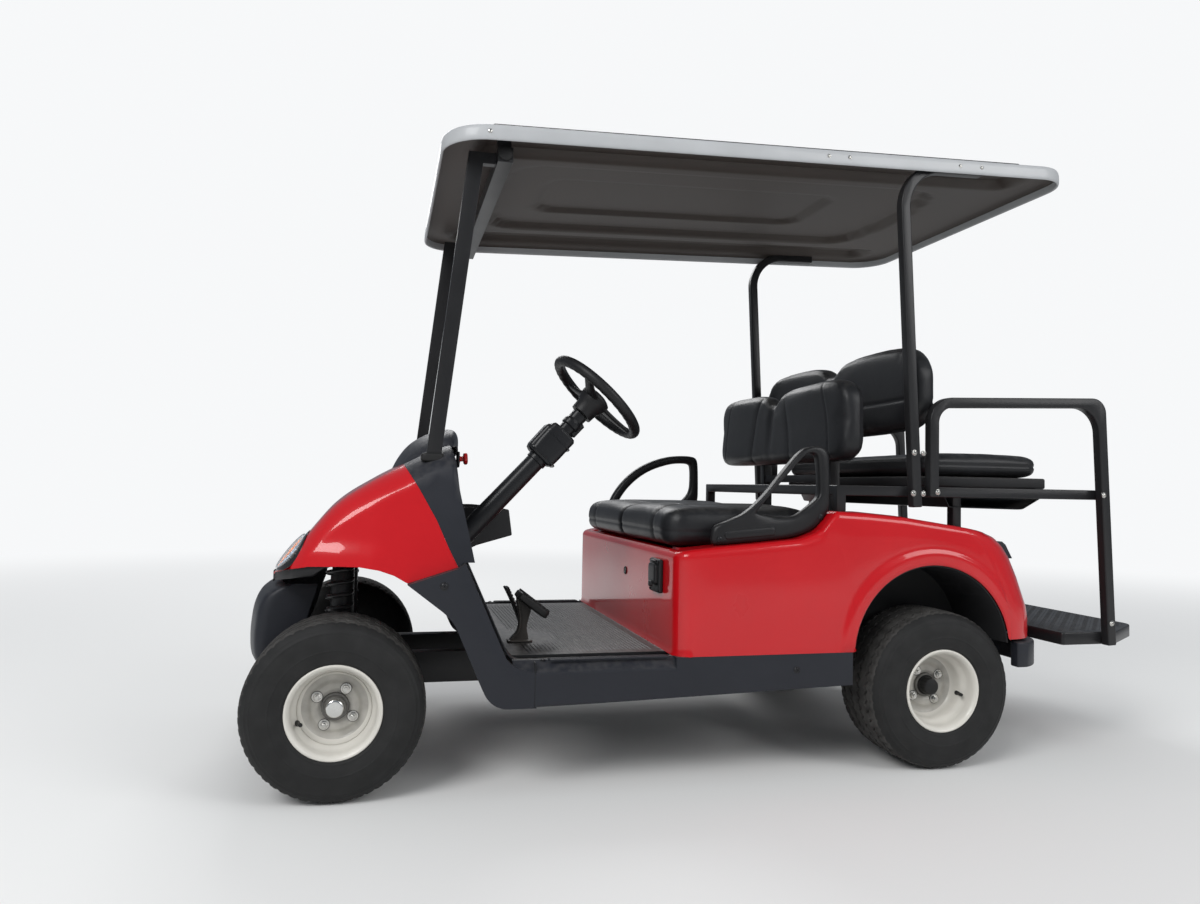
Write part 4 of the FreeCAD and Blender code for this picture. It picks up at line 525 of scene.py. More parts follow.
def tyre_profile():
    """Closed section as (across, radius, wave, notch): a smooth sidewall, the ribbed tread, and back."""
    run = length_along(*SIDEWALL.T)
    even = np.linspace(0, run[-1], 200)
    even_r = smooth_through(even, run, SIDEWALL[:, 1])
    fine = [np.interp(radius + width * near, even_r, even) for radius, _, width in SIDEWALL_RINGS
            for near in (-1.8, -0.9, 0.0, 0.9, 1.8)]
    steps = np.unique(np.concatenate([np.linspace(0, run[-1], 18), fine]))
    side_y, side_r = (smooth_through(steps, run, SIDEWALL[:, k]) for k in (0, 1))
    for radius, lift, width in SIDEWALL_RINGS:
        side_y = side_y + lift * np.exp(-((side_r - radius) / width) ** 2) * (side_r < 215)
    back_y, back_r = (smooth_through(np.linspace(0, run[-1], 16), run, SIDEWALL[:, k]) for k in (0, 1))
    tread_y, drop = [76.0, 71.0, 66.0], [0.0, 0.0, 0.0]
    wide = GROOVE_HALF + GROOVE_SLOPE
    for place, rib_middle in zip(GROOVES, (42.0, 7.5)):
        tread_y += [place + wide, place + GROOVE_HALF, place - GROOVE_HALF, place - wide, rib_middle]
        drop += [0.0, GROOVE_DEPTH, GROOVE_DEPTH, 0.0, 0.0]
    half_y = np.array(tread_y)
    half_r = TREAD_RADIUS - 2.4 * (half_y / TREAD_EDGE) ** 2 - np.array(drop)
    wave = np.where(half_y < 63, 1.0, np.clip((76.0 - half_y) / 13.0, 0, 1))
    notch = ((half_y > 65) & (half_y < TREAD_EDGE)).astype(float)
    shoulder, far_shoulder = (np.clip(1 - np.abs(radii - 220.5) / 3.5, 0, 1) for radii in (side_r, back_r))
    y = np.concatenate([side_y, half_y, [0.0], -half_y[::-1], -back_y[::-1]])
    r = np.concatenate([side_r, half_r, [TREAD_RADIUS], half_r[::-1], back_r[::-1]])
    w = np.concatenate([0 * side_y, wave, [1.0], wave[::-1], 0 * back_y])
    n = np.concatenate([shoulder, notch, [0.0], notch[::-1], far_shoulder[::-1]])
    return y, r, w, n


def round_axle(axle_x, axle_y, side, across, radius, turn):
    """Points at a distance across and a radius from a wheel's middle, at angles from the top."""
    return np.stack([axle_x + radius * np.sin(turn), axle_y + side * across + 0 * turn,
                     AXLE_UP + radius * np.cos(turn)], axis=-1)


def tyre_form(axle_x, axle_y, side):
    """The section carried round the axle; grooves swing with a triangle wave, notches come each wave."""
    y, r, w, n = (part[:, None] for part in tyre_profile())
    step = np.arange(WAVES * PER_WAVE)[None, :]
    swing = WAVE_SWING * (2 * np.abs((step / PER_WAVE) % 1.0 * 2 - 1) - 1)
    cut = NOTCH_DEPTH * (step % PER_WAVE == 0)
    turn = 2 * np.pi * step / step.size
    points = round_axle(axle_x, axle_y, side, y + w * swing, r - n * cut, turn)
    return points, grid_faces(len(y), step.size, close_rows=True, close_columns=True)


def triples(items, field):
    """A field of three numbers, such as co or center, of every item, as rows."""
    flat = np.empty(len(items) * 3, dtype=np.float32)
    items.foreach_get(field, flat)
    return flat.reshape(-1, 3)


def second_finish(thing, finish, axle_x, chosen):
    """Faces whose middle's distance from the axle passes a test take another finish."""
    thing.data.materials.append(finish)
    middles = triples(thing.data.polygons, "center") * 1000
    distance = np.hypot(middles[:, 0] - axle_x, middles[:, 2] - AXLE_UP)
    thing.data.polygons.foreach_set("material_index", chosen(distance).astype(np.int32))


tyre_rubber = finish_coat("tyre_rubber", (0.014, 0.014, 0.014), 0.66, grain=0.35, grain_size=1500,
                          mottle=0.25, drift_size=22)
tread_rubber = finish_coat("tread_rubber", (0.050, 0.048, 0.046), 0.8, grain=0.6, grain_size=700, mottle=0.35,
                           drift_size=30, specular=0.15)
# Columns: name, axle's X and Y, side, disc's place out from the middle, turns of nuts and valve.
FRONT_TURNS, REAR_TURNS = ((60, 150, 240, 330), 110), ((35, 125, 215, 305), 256)
WHEEL_PLACES = [
    ("front_left", 1124.0, 451.0, 1, 24.0, FRONT_TURNS),
    ("front_right", 1124.0, -451.0, -1, 24.0, FRONT_TURNS),
    ("rear_left", -545.0, 489.0, 1, 9.0, REAR_TURNS),
    ("rear_right", -545.0, -489.0, -1, 9.0, REAR_TURNS),
]
for name, x, y, side, _, _ in WHEEL_PLACES:
    tyre = surface("tyre_" + name + "_tread", *tyre_form(x, y, side), tyre_rubber, "wheel_" + name, angle=50)
    second_finish(tyre, tread_rubber, x, lambda distance: distance > 219.0)
    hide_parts("tyre_" + name)

# Rims: pressed and welded steel painted warm white. The barrel drops into a well between rolled
# flanges; the dished disc is held by four nuts, with a rubber valve stem beside them.
rim_paint = finish_coat("rim_paint", (0.60, 0.58, 0.53), 0.36, coat=0.25, mottle=0.05, grain=0.06,
                        drift_size=12)
# The hub's dark cast colour also serves the painted shade rings under the nuts.
hub_and_nut_shade_enamel = finish_coat("hub_casting_and_nut_shade", (0.16, 0.155, 0.145), 0.55, metal=0.5, grain=0.5, grain_size=500,
                         mottle=0.25, drift_size=30)
rubber_black = finish_coat("valve_rubber", (0.012, 0.012, 0.012), 0.5, grain=0.3)
# The dished disc is darker and browner than the barrel: painted shade of the recess, with some dirt.
disc_shade_and_dirt = finish_coat("disc_shade_and_dirt", (0.40, 0.385, 0.35), 0.42, coat=0.15, mottle=0.16, grain=0.1,
                         drift_size=26)
cap_steel = finish_coat("cap_steel", (0.66, 0.66, 0.64), 0.22, metal=1.0, mottle=0.08, drift_size=40)
NUT_CIRCLE, NUT_SEAT, VALVE_CIRCLE = 50.8, 4.4, 93.0
# Profile of a dark ring under each nut: painted shade of the groove round it.
NUT_SHADE_RING = [(-0.5, 15.0), (0.9, 14.6), (1.0, 12.0)]
# Profiles of (along, radius) pairs from the disc's face: hub and cap of the front and of the rear wheels.
FRONT_HUB = [(-8, 34.6), (6, 34.6), (8, 33), (8.4, 29), (20, 27.5), (22, 26)]
FRONT_CAP = [(18, 23.4), (24, 23.4), (25.5, 22.4), (31.4, 21.6), (33.0, 19.8), (33.4, 17.0)]
REAR_HUB = [(-8, 34.6), (5, 34.6), (7, 33), (7.4, 30)]
REAR_CAP = [(6, 28), (9, 28.6), (12, 27.4), (14, 24.5), (31, 23.5), (35, 22), (37, 18)]
VALVE = [(-6, 7.4), (0, 7.6), (4, 6.0), (12, 4.8), (26, 4.4), (27, 4.9), (35, 4.9), (36, 4.2)]


def rim_profile(disc):
    """Closed section as (across, radius): outer face from the flange to the hub hole, then the back."""
    return np.array([
        (93.5, 116.6), (95.5, 117.4), (98.5, 117.2), (100.2, 115.6), (100.4, 113.0), (98.8, 110.4),
        (95.0, 106.4), (90.0, 103.6), (74.0, 102.4), (64.0, 100.2), (58.0, 96.6), (52.0, 93.0),
        (46.0, 90.6), (disc + 24, 89.6), (disc + 16, 88.8), (disc + 9, 86.0), (disc + 4.5, 81.5),
        (disc + 1.5, 77.0), (disc + 0.2, 73.0), (disc, 70.0), (disc, 64.0), (disc + 3.4, 60.5),
        (disc + 4.4, 56.0), (disc + 4.4, 45.0), (disc + 3.0, 41.0), (disc, 38.0), (disc - 0.4, 35.0),
        (disc - 4.2, 35.0), (disc - 4.2, 73.0), (disc + 6.0, 90.0), (-48.0, 90.0), (-62.0, 99.4),
        (-88.0, 103.4), (-98.5, 105.6), (-99.6, 111.0), (-98.8, 115.6), (-96.0, 116.6), (-94.6, 115.0),
        (-94.6, 108.6), (-62.0, 104.4), (-48.0, 94.0), (disc + 18, 94.0), (62.0, 104.4), (93.0, 108.0),
        (93.4, 112.0),
    ])


for name, x, y, side, disc, (nut_turns, valve_turn) in WHEEL_PLACES:
    body, face, out = "wheel_" + name, y + side * disc, (0, side, 0)
    profile, turn = rim_profile(disc), full_turn(96)[None, :]
    points = round_axle(x, y, side, profile[:, :1], profile[:, 1:], turn)
    faces = grid_faces(len(profile), turn.size, close_rows=True, close_columns=True)
    rim = surface("rim_" + name + "_pressing", points, faces, rim_paint, body, angle=50)
    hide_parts("rim_" + name)
    # Faces within 82 mm of the axle take the disc's painted shade and dirt.
    second_finish(rim, disc_shade_and_dirt, x, lambda distance: distance < 82.0)
    places = [round_axle(x, face, side, NUT_SEAT, NUT_CIRCLE, math.radians(angle)) for angle in nut_turns]
    # Each nut stands on a dark ring in the hub's colour: painted shade of the groove round the nut.
    rings = [turned_form(NUT_SHADE_RING, place, out, 28) for place in places]
    surface("nut_shade_rings_" + name, *gathered(rings), hub_and_nut_shade_enamel, body, angle=30)
    nuts = [hexagon(place, out, 10.0, 9.0) for place in places]
    surface("nuts_" + name, *gathered(nuts), zinc, body, angle=30)
    front = name.startswith("front")
    hub = turned_form(FRONT_HUB if front else REAR_HUB, (x, face, AXLE_UP), out, 48)
    surface("hub_" + name, *hub, hub_and_nut_shade_enamel, body, angle=35)
    cap = turned_form(FRONT_CAP if front else REAR_CAP, (x, face, AXLE_UP), out, 48)
    surface("cap_" + name, *cap, cap_steel if front else rubber_black, body, angle=35)
    lean = math.radians(valve_turn)
    root = round_axle(x, y, side, disc + 30, VALVE_CIRCLE, lean)
    stem = turned_form(VALVE, root, (-0.35 * math.sin(lean), side, -0.35 * math.cos(lean)), 20)
    surface("valve_" + name, *stem, rubber_black, body, angle=35)


# Front cowl: one thin red moulding over the front wheels, gel colour under a polished clear coat.
# It springs from the nose, swells over each wheel and ends at the dark dash along a leaning seam.
# Columns: distance behind the nose, crown height, shoulder height, half-width at top and bottom.
COWL_STATIONS = np.array([
    (0, 512, 506, 330, 350), (50, 578, 560, 415, 440), (110, 652, 636, 455, 500), (180, 734, 722, 462, 535),
    (280, 803, 794, 458, 556), (370, 852, 842, 452, 562), (460, 896, 886, 447, 566),
    (560, 930, 915, 440, 570)], dtype=float)
COWL_NOSE, COWL_FOOT, COWL_FRONT = 1330.0, 470.0, 1325.0
# Columns of both edges: X, height.
ARCH_EDGE = np.array([(832, 579), (957, 539), (989, 558), (1026, 571), (1074, 579), (1121, 580), (1197, 578),
                      (1260, 566), (1300, 545), (1345, 500)], dtype=float)
SEAM = np.array([(832, 579), (858, 631), (887, 696), (930, 772), (969, 835), (975, 900), (976, 960)],
                dtype=float)


def softened(line, rounds):
    """Values whose inner ones are averaged with their neighbours a number of times."""
    line = np.array(line, dtype=float)
    for _ in range(rounds):
        line[1:-1] = 0.25 * (line[:-2] + line[2:]) + 0.5 * line[1:-1]
    return line


def cowl_line(x, t):
    """Across and up at one place along the nose and shares t of the section, from foot to crown.

    The section is a straight side, a turn shaped as a parabola through its middle, and a flat arc.
    """
    crown, shoulder, top, low = (smooth_through(COWL_NOSE - x, COWL_STATIONS[:, 0], COWL_STATIONS[:, k])
                                 for k in (1, 2, 3, 4))
    turn = np.minimum(60.0, 0.4 * (shoulder - COWL_FOOT))
    rise_y, rise_z = top + 0.35 * (low - top) + 22, shoulder - turn
    end_y, end_z = top - 40, shoulder
    a, b, c = (np.clip((t - start) / span, 0, 1) for start, span in ((0, 0.4), (0.4, 0.25), (0.65, 0.35)))
    pull_y = 2 * (top + 12) - 0.5 * (rise_y + end_y)
    pull_z = 2 * (shoulder - 0.25 * turn) - 0.5 * (rise_z + end_z)
    bend_y = (1 - b) ** 2 * rise_y + 2 * b * (1 - b) * pull_y + b**2 * end_y
    bend_z = (1 - b) ** 2 * rise_z + 2 * b * (1 - b) * pull_z + b**2 * end_z
    y = np.where(t < 0.4, low + (rise_y - low) * a, np.where(t < 0.65, bend_y, end_y * (1 - c)))
    z = np.where(t < 0.4, COWL_FOOT + (rise_z - COWL_FOOT) * a,
                 np.where(t < 0.65, bend_z, crown - (crown - end_z) * (1 - c) ** 2))
    return softened(y, 60), softened(z, 60)


def cowl_sections(xs, columns):
    """Sections at places along X, each cut at the arch's edge and spaced evenly along its length."""
    t = np.linspace(0, 1, 600)
    rows = []
    for x in xs:
        y, z = cowl_line(np.full_like(t, x), t)
        floor = min(np.interp(x, ARCH_EDGE[:, 0], ARCH_EDGE[:, 1]), z[-1] - 3.0)
        start = np.argmax(z >= floor)
        share = (floor - z[start - 1]) / max(z[start] - z[start - 1], 1e-6) if start else 0.0
        y = np.concatenate([[y[start - 1] + share * (y[start] - y[start - 1])], y[start:]])
        z = np.concatenate([[floor], z[start:]])
        run = length_along(y, z)
        even = np.linspace(0, run[-1], columns)
        rows.append((np.interp(even, run, y), np.interp(even, run, z)))
    return np.array(rows)


def cowl_half(rows=92, columns=90):
    """Near half of the skin, from the nose's plan curve back to the leaning seam.

    Each place's X lies between the two edges at its own height, found by a few rounds of substitution.
    """
    xs = np.linspace(780.0, COWL_FRONT, 260)
    table = cowl_sections(xs, columns)
    share = ((1 - np.cos(np.linspace(0, np.pi, rows))) / 2 * 0.35 + np.linspace(0, 1, rows) * 0.65)[:, None]
    x = np.repeat(np.linspace(COWL_FRONT, 900, rows)[:, None], columns, axis=1)
    column = np.arange(columns)[None, :]
    for _ in range(14):
        place = np.clip((x - xs[0]) / (xs[1] - xs[0]), 0, len(xs) - 1.001)
        k = place.astype(int)
        f = place - k
        y, z = (table[k, n, column] * (1 - f) + table[k + 1, n, column] * f for n in (0, 1))
        ahead = COWL_FRONT - 75 * (np.minimum(y, 470) / 470.0) ** 2 - np.maximum(y - 470, 0) * 0.81
        behind = np.interp(z, SEAM[:, 1], SEAM[:, 0])
        x = 0.5 * x + 0.5 * (ahead + (behind - ahead) * share)
    return x, y, z


def mirrored_grid(half):
    """The near half's grid joined to its mirror image over the middle, where its last column lies."""
    return np.concatenate([half, half[:, -2::-1, :] * np.array([1.0, -1.0, 1.0])], axis=1)


liner_black = finish_coat("liner_black", (0.012, 0.012, 0.013), 0.6, grain=0.5, grain_size=700, dust=0.1)
red_gel = finish_coat("red_gel_coat", (0.47, 0.004, 0.008), 0.3, coat=0.7, mottle=0.03, grain=0.02,
                      grain_size=260, drift_size=5, specular=0.2)
cowl_x, cowl_y, cowl_z = cowl_half()
# The fender stands out over the wheel: a soft ledge that follows the arch and dies out at both ends.
LEDGE_OUT, LEDGE_RISE, LEDGE_SOFT = 9.0, 46.0, 7.0
above = cowl_z - np.interp(cowl_x, ARCH_EDGE[:, 0], ARCH_EDGE[:, 1])
reach = np.clip((cowl_x - 960) / 90.0, 0, 1) * np.clip((1265 - cowl_x) / 70.0, 0, 1)
reach = reach * reach * (3 - 2 * reach)
cowl_y = cowl_y + LEDGE_OUT * reach * (cowl_y > 300) / (1 + np.exp((above - LEDGE_RISE) / LEDGE_SOFT))
cowl_skin = mirrored_grid(np.stack([cowl_x, cowl_y, cowl_z], axis=-1))
cowl = surface("front_cowl_skin", *walled(cowl_skin, 4.0, (0.0, 0.0, 0.0)), red_gel, angle=50)
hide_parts("front_cowl")
# Under the cowl's edge a black valance closes the gap to the bumper, from the nose to the shocks.
VALANCE_END = 1145.0
edge_line = np.stack([cowl_x[:, 0], cowl_y[:, 0] - 7.0, cowl_z[:, 0] + 6.0], axis=-1)
edge_line = edge_line[edge_line[:, 0] > VALANCE_END]
fall = np.array([[0, 0, 0], [0, 0, -14], [0, 0, -26], [0, -6, -31], [0, -40, -32]], dtype=float)
depth = np.clip((edge_line[:, :1, None] - VALANCE_END) / 40.0, 0.3, 1)
valance = edge_line[:, None, :] + fall[None, :, :] * depth
valances = [walled(valance * np.array([1, s, 1]), 2.5, (1150.0, s * 200.0, 540.0)) for s in SIDES]
surface("cowl_valance", *gathered(valances), liner_black, angle=50)

# Headlights: wrap-round lamps let into the cowl's corners. A black rim holds a bluish grey bowl with a
# long amber turn lamp, under one clear domed lens that follows the moulding.
# Columns: X, height of the lamp's outer side line.
LAMP_SIDE = np.array([(1192, 668), (1204, 640), (1211, 618), (1222, 597), (1242, 575), (1262, 563),
                      (1292, 552)], dtype=float)
LAMP_X, LAMP_INNER_Y = (1203.0, 1291.0), 322.0


def lamp_patch(middle, spread, lift, dome, power=3.0, rows=30, columns=40):
    """Patch on the cowl between its side line and an inner Y, as a superellipse of two shares.

    The first share runs along X, the second over the turn; it is lifted along the surface's normal.
    """
    first = -np.cos(np.linspace(0, np.pi, rows))
    across = np.cos(np.linspace(0, np.pi, columns))
    half = np.clip(1 - np.abs(first) ** power, 0.0004, 1) ** (1 / power)
    t = np.linspace(0, 1, 500)
    grid = []
    for along, reach in zip(first, half):
        share = middle[0] + spread[0] * along
        x = LAMP_X[0] + (LAMP_X[1] - LAMP_X[0]) * share
        y, z = cowl_line(np.full_like(t, x), t)
        run = length_along(y, z)
        low = np.interp(np.interp(x, LAMP_SIDE[:, 0], LAMP_SIDE[:, 1]), z, run)
        high = np.interp(-LAMP_INNER_Y, -y, run)
        place = low + (high - low) * (middle[1] - spread[1] * reach * across)
        row = [np.full(columns, x), np.interp(place, run, y), np.interp(place, run, z)]
        grid.append(np.stack(row, axis=-1))
    grid = np.array(grid)
    normal = np.cross(np.gradient(grid, axis=0), np.gradient(grid, axis=1))
    normal /= np.maximum(np.linalg.norm(normal, axis=-1, keepdims=True), 1e-9)
    if normal[rows // 2, columns // 2, 0] < 0:
        normal = -normal
    bulge = np.sqrt(np.clip(1 - first[:, None] ** 2, 0, 1)) * np.sqrt(np.clip(1 - across[None, :] ** 2, 0, 1))
    return grid + normal * (lift + dome * bulge)[..., None]


lamp_black = finish_coat("lamp_black", (0.012, 0.012, 0.013), 0.3, coat=0.4, mottle=0.1)
lamp_silver = finish_coat("lamp_silver", (0.34, 0.40, 0.48), 0.32, metal=0.2, mottle=0.10, drift_size=45)
lamp_amber = finish_coat("lamp_amber", (0.85, 0.20, 0.015), 0.3, coat=0.6, mottle=0.15, drift_size=60)
clear_lens = finish_coat("clear_lens", (0.97, 0.98, 0.99), 0.05, mottle=0.02)
lens_tree = clear_lens.node_tree
set_sockets(lens_tree, lens_tree.nodes["Principled BSDF"], {"Transmission Weight": 1.0, "IOR": 1.15})
# Columns: name, patch, wall, finish.
LAYERS = [
    ("lamp_rims", lamp_patch((0.50, 0.50), (0.50, 0.50), 1.6, 4.0), 4.0, lamp_black),
    ("lamp_bowls", lamp_patch((0.50, 0.53), (0.38, 0.37), 4.0, 4.0), 1.5, lamp_silver),
    ("lamp_turn_lights", lamp_patch((0.50, 0.42), (0.33, 0.17), 5.4, 4.4, 2.2), 1.5, lamp_amber),
    ("lamp_lenses", lamp_patch((0.50, 0.52), (0.41, 0.41), 6.0, 9.0), 1.2, clear_lens),
]
for name, patch, wall, finish in LAYERS:
    lamp_pair = [walled(patch * np.array([1, s, 1]), wall, (1000.0, s * 380.0, 500.0)) for s in (1, -1)]
    layer = surface(name, *gathered(lamp_pair), finish, angle=60)
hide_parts("headlights")


# Dash: a charcoal moulding behind the cowl with sockets for the front roof struts and a hump for the
# instruments. The hump is a separate cover, rounded in plan and lower towards its ends.
HUMP_HALF = 331.0
HUMP_LINE = np.array([(1000, 822), (984, 858), (958, 896), (930, 920), (897, 937), (872, 947), (851, 952),
                      (832, 953), (816, 950), (807, 938), (804, 915), (806, 880), (812, 840)], dtype=float)


def crown_height(x):
    """Height of the line over the middle that cowl and dash share."""
    return np.interp(COWL_NOSE - x, COWL_STATIONS[:, 0], COWL_STATIONS[:, 1])


def above_crown(x, y, z):
    """True for a face of the hump: inside its width and above the surface that cowl and dash share."""
    return abs(y) < HUMP_HALF and z > crown_height(x) - 14 and 796 < x < 1000


def hump_cover():
    """Instrument hump: its side line scaled in height by a superellipse across, its rear curved in plan."""
    across = np.sin(np.linspace(-np.pi / 2, np.pi / 2, 60))[:, None]
    run = length_along(*HUMP_LINE.T)
    steps = np.linspace(0, run[-1], 50)
    x, z = (softened(smooth_through(steps, run, HUMP_LINE[:, k]), 5)[None, :] for k in (0, 1))
    share = np.clip(1 - np.abs(across) ** 3.6, 0, 1) ** 0.42
    rear = np.clip((900 - x) / 90.0, 0, 1)
    px = x + 30.0 * np.abs(across) ** 3 * rear - 26.0 * np.abs(across) ** 4 * (1 - rear)
    foot = crown_height(px) - 16.0 - 30.0 * np.clip((822 - px) / 16.0, 0, 1)
    return np.stack([px, HUMP_HALF * across + 0 * px, foot + (np.maximum(z, foot) - foot) * share], axis=-1)


def bent(value, power):
    """Sine or cosine raised to a power with its sign kept, which turns a circle into a superellipse."""
    return np.sign(value) * np.abs(value) ** power


def pillow(centre, axes, half, power, count=(28, 48)):
    """Rounded block: a superellipsoid spanned by three directions, its corners set by the power."""
    u = np.linspace(-np.pi / 2, np.pi / 2, count[0])[:, None]
    v = full_turn(count[1])[None, :]
    shares = (bent(np.cos(u), 2 / power) * bent(np.cos(v), 2 / power),
              bent(np.cos(u), 2 / power) * bent(np.sin(v), 2 / power),
              bent(np.sin(u), 2 / power) + 0 * v)
    points = np.asarray(centre, float) + sum((reach * share)[..., None] * np.asarray(axis, float)
                                             for reach, share, axis in zip(half, shares, axes))
    return points, grid_faces(*count, close_columns=True)


SQUARE = ((1, 0, 0), (0, 1, 0), (0, 0, 1))
housing = solid_copy("dash_housing", "_part", trim_plastic, drop=above_crown)
housing.data.set_sharp_from_angle(angle=math.radians(35))
well_black = finish_coat("well_black", (0.017, 0.017, 0.018), 0.5, grain=0.6, grain_size=700, dust=0.15)
rubber_trim = finish_coat("rubber_trim", (0.014, 0.014, 0.014), 0.55, grain=0.4)
surface("dash_hump", *walled(hump_cover(), 4.0, (890.0, 0.0, 800.0)), trim_plastic, angle=60)
eased("dash_bin", 4.0, well_black, steps=3)

# Strut sockets: a rubber collar where each front strut enters the dash. Selector: a round red knob on
# a black base, on the dash's rear face beside the column.
collars = [pillow((898.5, s * 460, 858), SQUARE, (30, 21, 12), 4.5) for s in SIDES]
surface("strut_collars", *gathered(collars), rubber_trim, angle=60)
knob = turned_form([(-6, 15), (0, 15), (2, 13), (4, 8), (12, 8), (13, 14), (16, 18), (22, 18), (25, 15)],
                   (803, 150, 864), (-1, 0, 0.06), 36)
knob_red = finish_coat("knob_red", (0.55, 0.01, 0.01), 0.3, coat=0.6, mottle=0.1)
surface("selector_knob", *knob, knob_red, angle=40)
plate = pillow((806, 150, 862), SQUARE, (4, 30, 24), 5.0)
surface("selector_plate", *plate, well_black, angle=60)

# Front bumper: a charcoal moulding between the tyres, round in plan, leaning back under the cowl.
# Columns: height, front, half-width, rear end of the wings.
BUMPER_ROWS = np.array([
    (284, 1371, 238, 1270), (300, 1380, 242, 1262), (344, 1385, 246, 1240), (390, 1383, 246, 1222),
    (436, 1376, 246, 1209), (466, 1364, 245, 1200), (480, 1353, 244, 1195), (496, 1328, 242, 1192),
    (504, 1306, 240, 1190)], dtype=float)
BUMPER_BOW, BUMPER_CORNER, CORNER_SHARE = 34.0, 10.0, 0.55


def bumper_skin():
    """Rows of plan curves: a bowed front, a round corner and a straight wing, each row set by height."""
    z = np.concatenate([np.linspace(284, 470, 22), np.linspace(474, 505, 14)])[:, None]
    front, half, wing = (smooth_through(z, BUMPER_ROWS[:, 0], BUMPER_ROWS[:, k]) for k in (1, 2, 3))
    v = np.linspace(0, 1, 120)[None, :]
    bow = np.clip(v / CORNER_SHARE, 0, 1)
    run = np.clip((v - CORNER_SHARE) / (1 - CORNER_SHARE), 0, 1)
    corner = front - BUMPER_BOW
    x = np.where(v < CORNER_SHARE, front - BUMPER_BOW * bow**2, corner - (corner - wing) * run)
    y = np.where(v < CORNER_SHARE, (half - BUMPER_CORNER) * bow,
                 half - BUMPER_CORNER + BUMPER_CORNER * np.clip(run * 6, 0, 1) - 6 * run)
    grid = softened(np.stack([x, y, z + 0 * v], axis=-1).swapaxes(0, 1), 21).swapaxes(0, 1)
    return np.concatenate([grid[:, :0:-1] * np.array([1.0, -1.0, 1.0]), grid], axis=1)


bumper_walls = walled(bumper_skin(), 5.0, (1250.0, 0.0, 380.0))
bumper = surface("front_bumper_skin", *bumper_walls, trim_plastic, angle=50)
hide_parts("front_bumper")


# Rear body: one red moulding from the seat box to the tail, hollow and open below. Its top edge is
# rolled over into a deck, the wheel arches have a raised lip, and the tail leans and rounds its corners.
BODY_HALF, FRONT_X, TAIL_CORNER, FRONT_CORNER, EDGE_ROLL = 588.0, 258.0, 120.0, 46.0, 20.0
SIDE_FRONT, SIDE_REAR, SILL_Z, TAIL_SILL_Z = FRONT_X - FRONT_CORNER, -770.0, 343.0, 366.0
# Columns: height, X.
TAIL_LINE = np.array([(343, -890), (366, -890), (420, -890), (455, -884), (545, -850), (600, -824),
                      (634, -800), (660, -771), (671, -753)], dtype=float)
# Columns: X, height.
DECK_LINE = np.array([(-760, 670), (-753, 671), (-600, 694), (-421, 719), (-300, 729), (-212, 733),
                      (-203, 727), (-184, 706), (-166, 684), (-148, 672), (-91, 655), (30, 643), (142, 633),
                      (258, 620)], dtype=float)
ARCH_X, ARCH_Z, ARCH_R = -512.0, 333.0, 250.0
LIP_OUT, LIP_WIDE, LIP_SOFT, LIP_TURN = 7.0, 40.0, 3.2, 3.0
FOOT_OUT, FOOT_HIGH, BELLY, DECK_CROWN = 3.5, 9.0, 3.0, 3.0


def plan_share():
    """Places along the half plan from the front's middle to the tail's middle.

    Each is a zone (0 front face, 1 front corner, 2 side, 3 tail corner, 4 tail face) and a share of
    it; along the side the places crowd together where the wheel arch is steep.
    """
    arch = ARCH_X + ARCH_R * np.cos(np.linspace(0.02, np.pi - 0.02, 84))
    side = np.concatenate([np.linspace(SIDE_FRONT, -150, 26), np.linspace(-158, -250, 18),
                           [-258.0, -260.6, -261.6], arch])
    side = (SIDE_FRONT - side[side > -740]) / (SIDE_FRONT - SIDE_REAR)
    shares = [np.linspace(0, 1, 18)[:-1], np.linspace(0, 1, 14)[:-1],
              np.concatenate([side, np.linspace(0.9722, 1, 6)[:-1]]), np.linspace(0, 1, 24)[:-1],
              np.linspace(0, 1, 14)]
    zones = np.repeat(np.arange(5), [len(part) for part in shares])
    return zones[:, None], np.concatenate(shares)[:, None]


def by_zone(zone, values):
    """One of five values for each place, by its zone."""
    return np.select([zone == k for k in range(4)], values[:4], values[4])


def tail_x(z):
    """X of the tail's side line at a height."""
    return np.interp(z, TAIL_LINE[:, 0], TAIL_LINE[:, 1])


def plan_place(zone, share, z, inset):
    """Plan point and outward direction at a height, moved inwards by the inset.

    Straight runs join quarter circles; the tail's X follows its side line at each height.
    """
    tail = tail_x(z)
    start = tail + TAIL_CORNER
    wide, narrow = BODY_HALF - FRONT_CORNER, BODY_HALF - TAIL_CORNER
    cos, sin = np.cos(share * np.pi / 2), np.sin(share * np.pi / 2)
    x = by_zone(zone, [FRONT_X + 0 * z, SIDE_FRONT + FRONT_CORNER * cos,
                       SIDE_FRONT + share * (start - SIDE_FRONT), start - TAIL_CORNER * sin, tail])
    y = by_zone(zone, [share * wide, wide + FRONT_CORNER * sin, BODY_HALF + 0 * z, narrow + TAIL_CORNER * cos,
                       (1 - share) * narrow])
    out_x = by_zone(zone, [1.0, cos, 0.0, -sin, -1.0])
    out_y = by_zone(zone, [0.0, sin, 1.0, cos, 0.0])
    return x - inset * out_x, y - inset * out_y, out_x, out_y


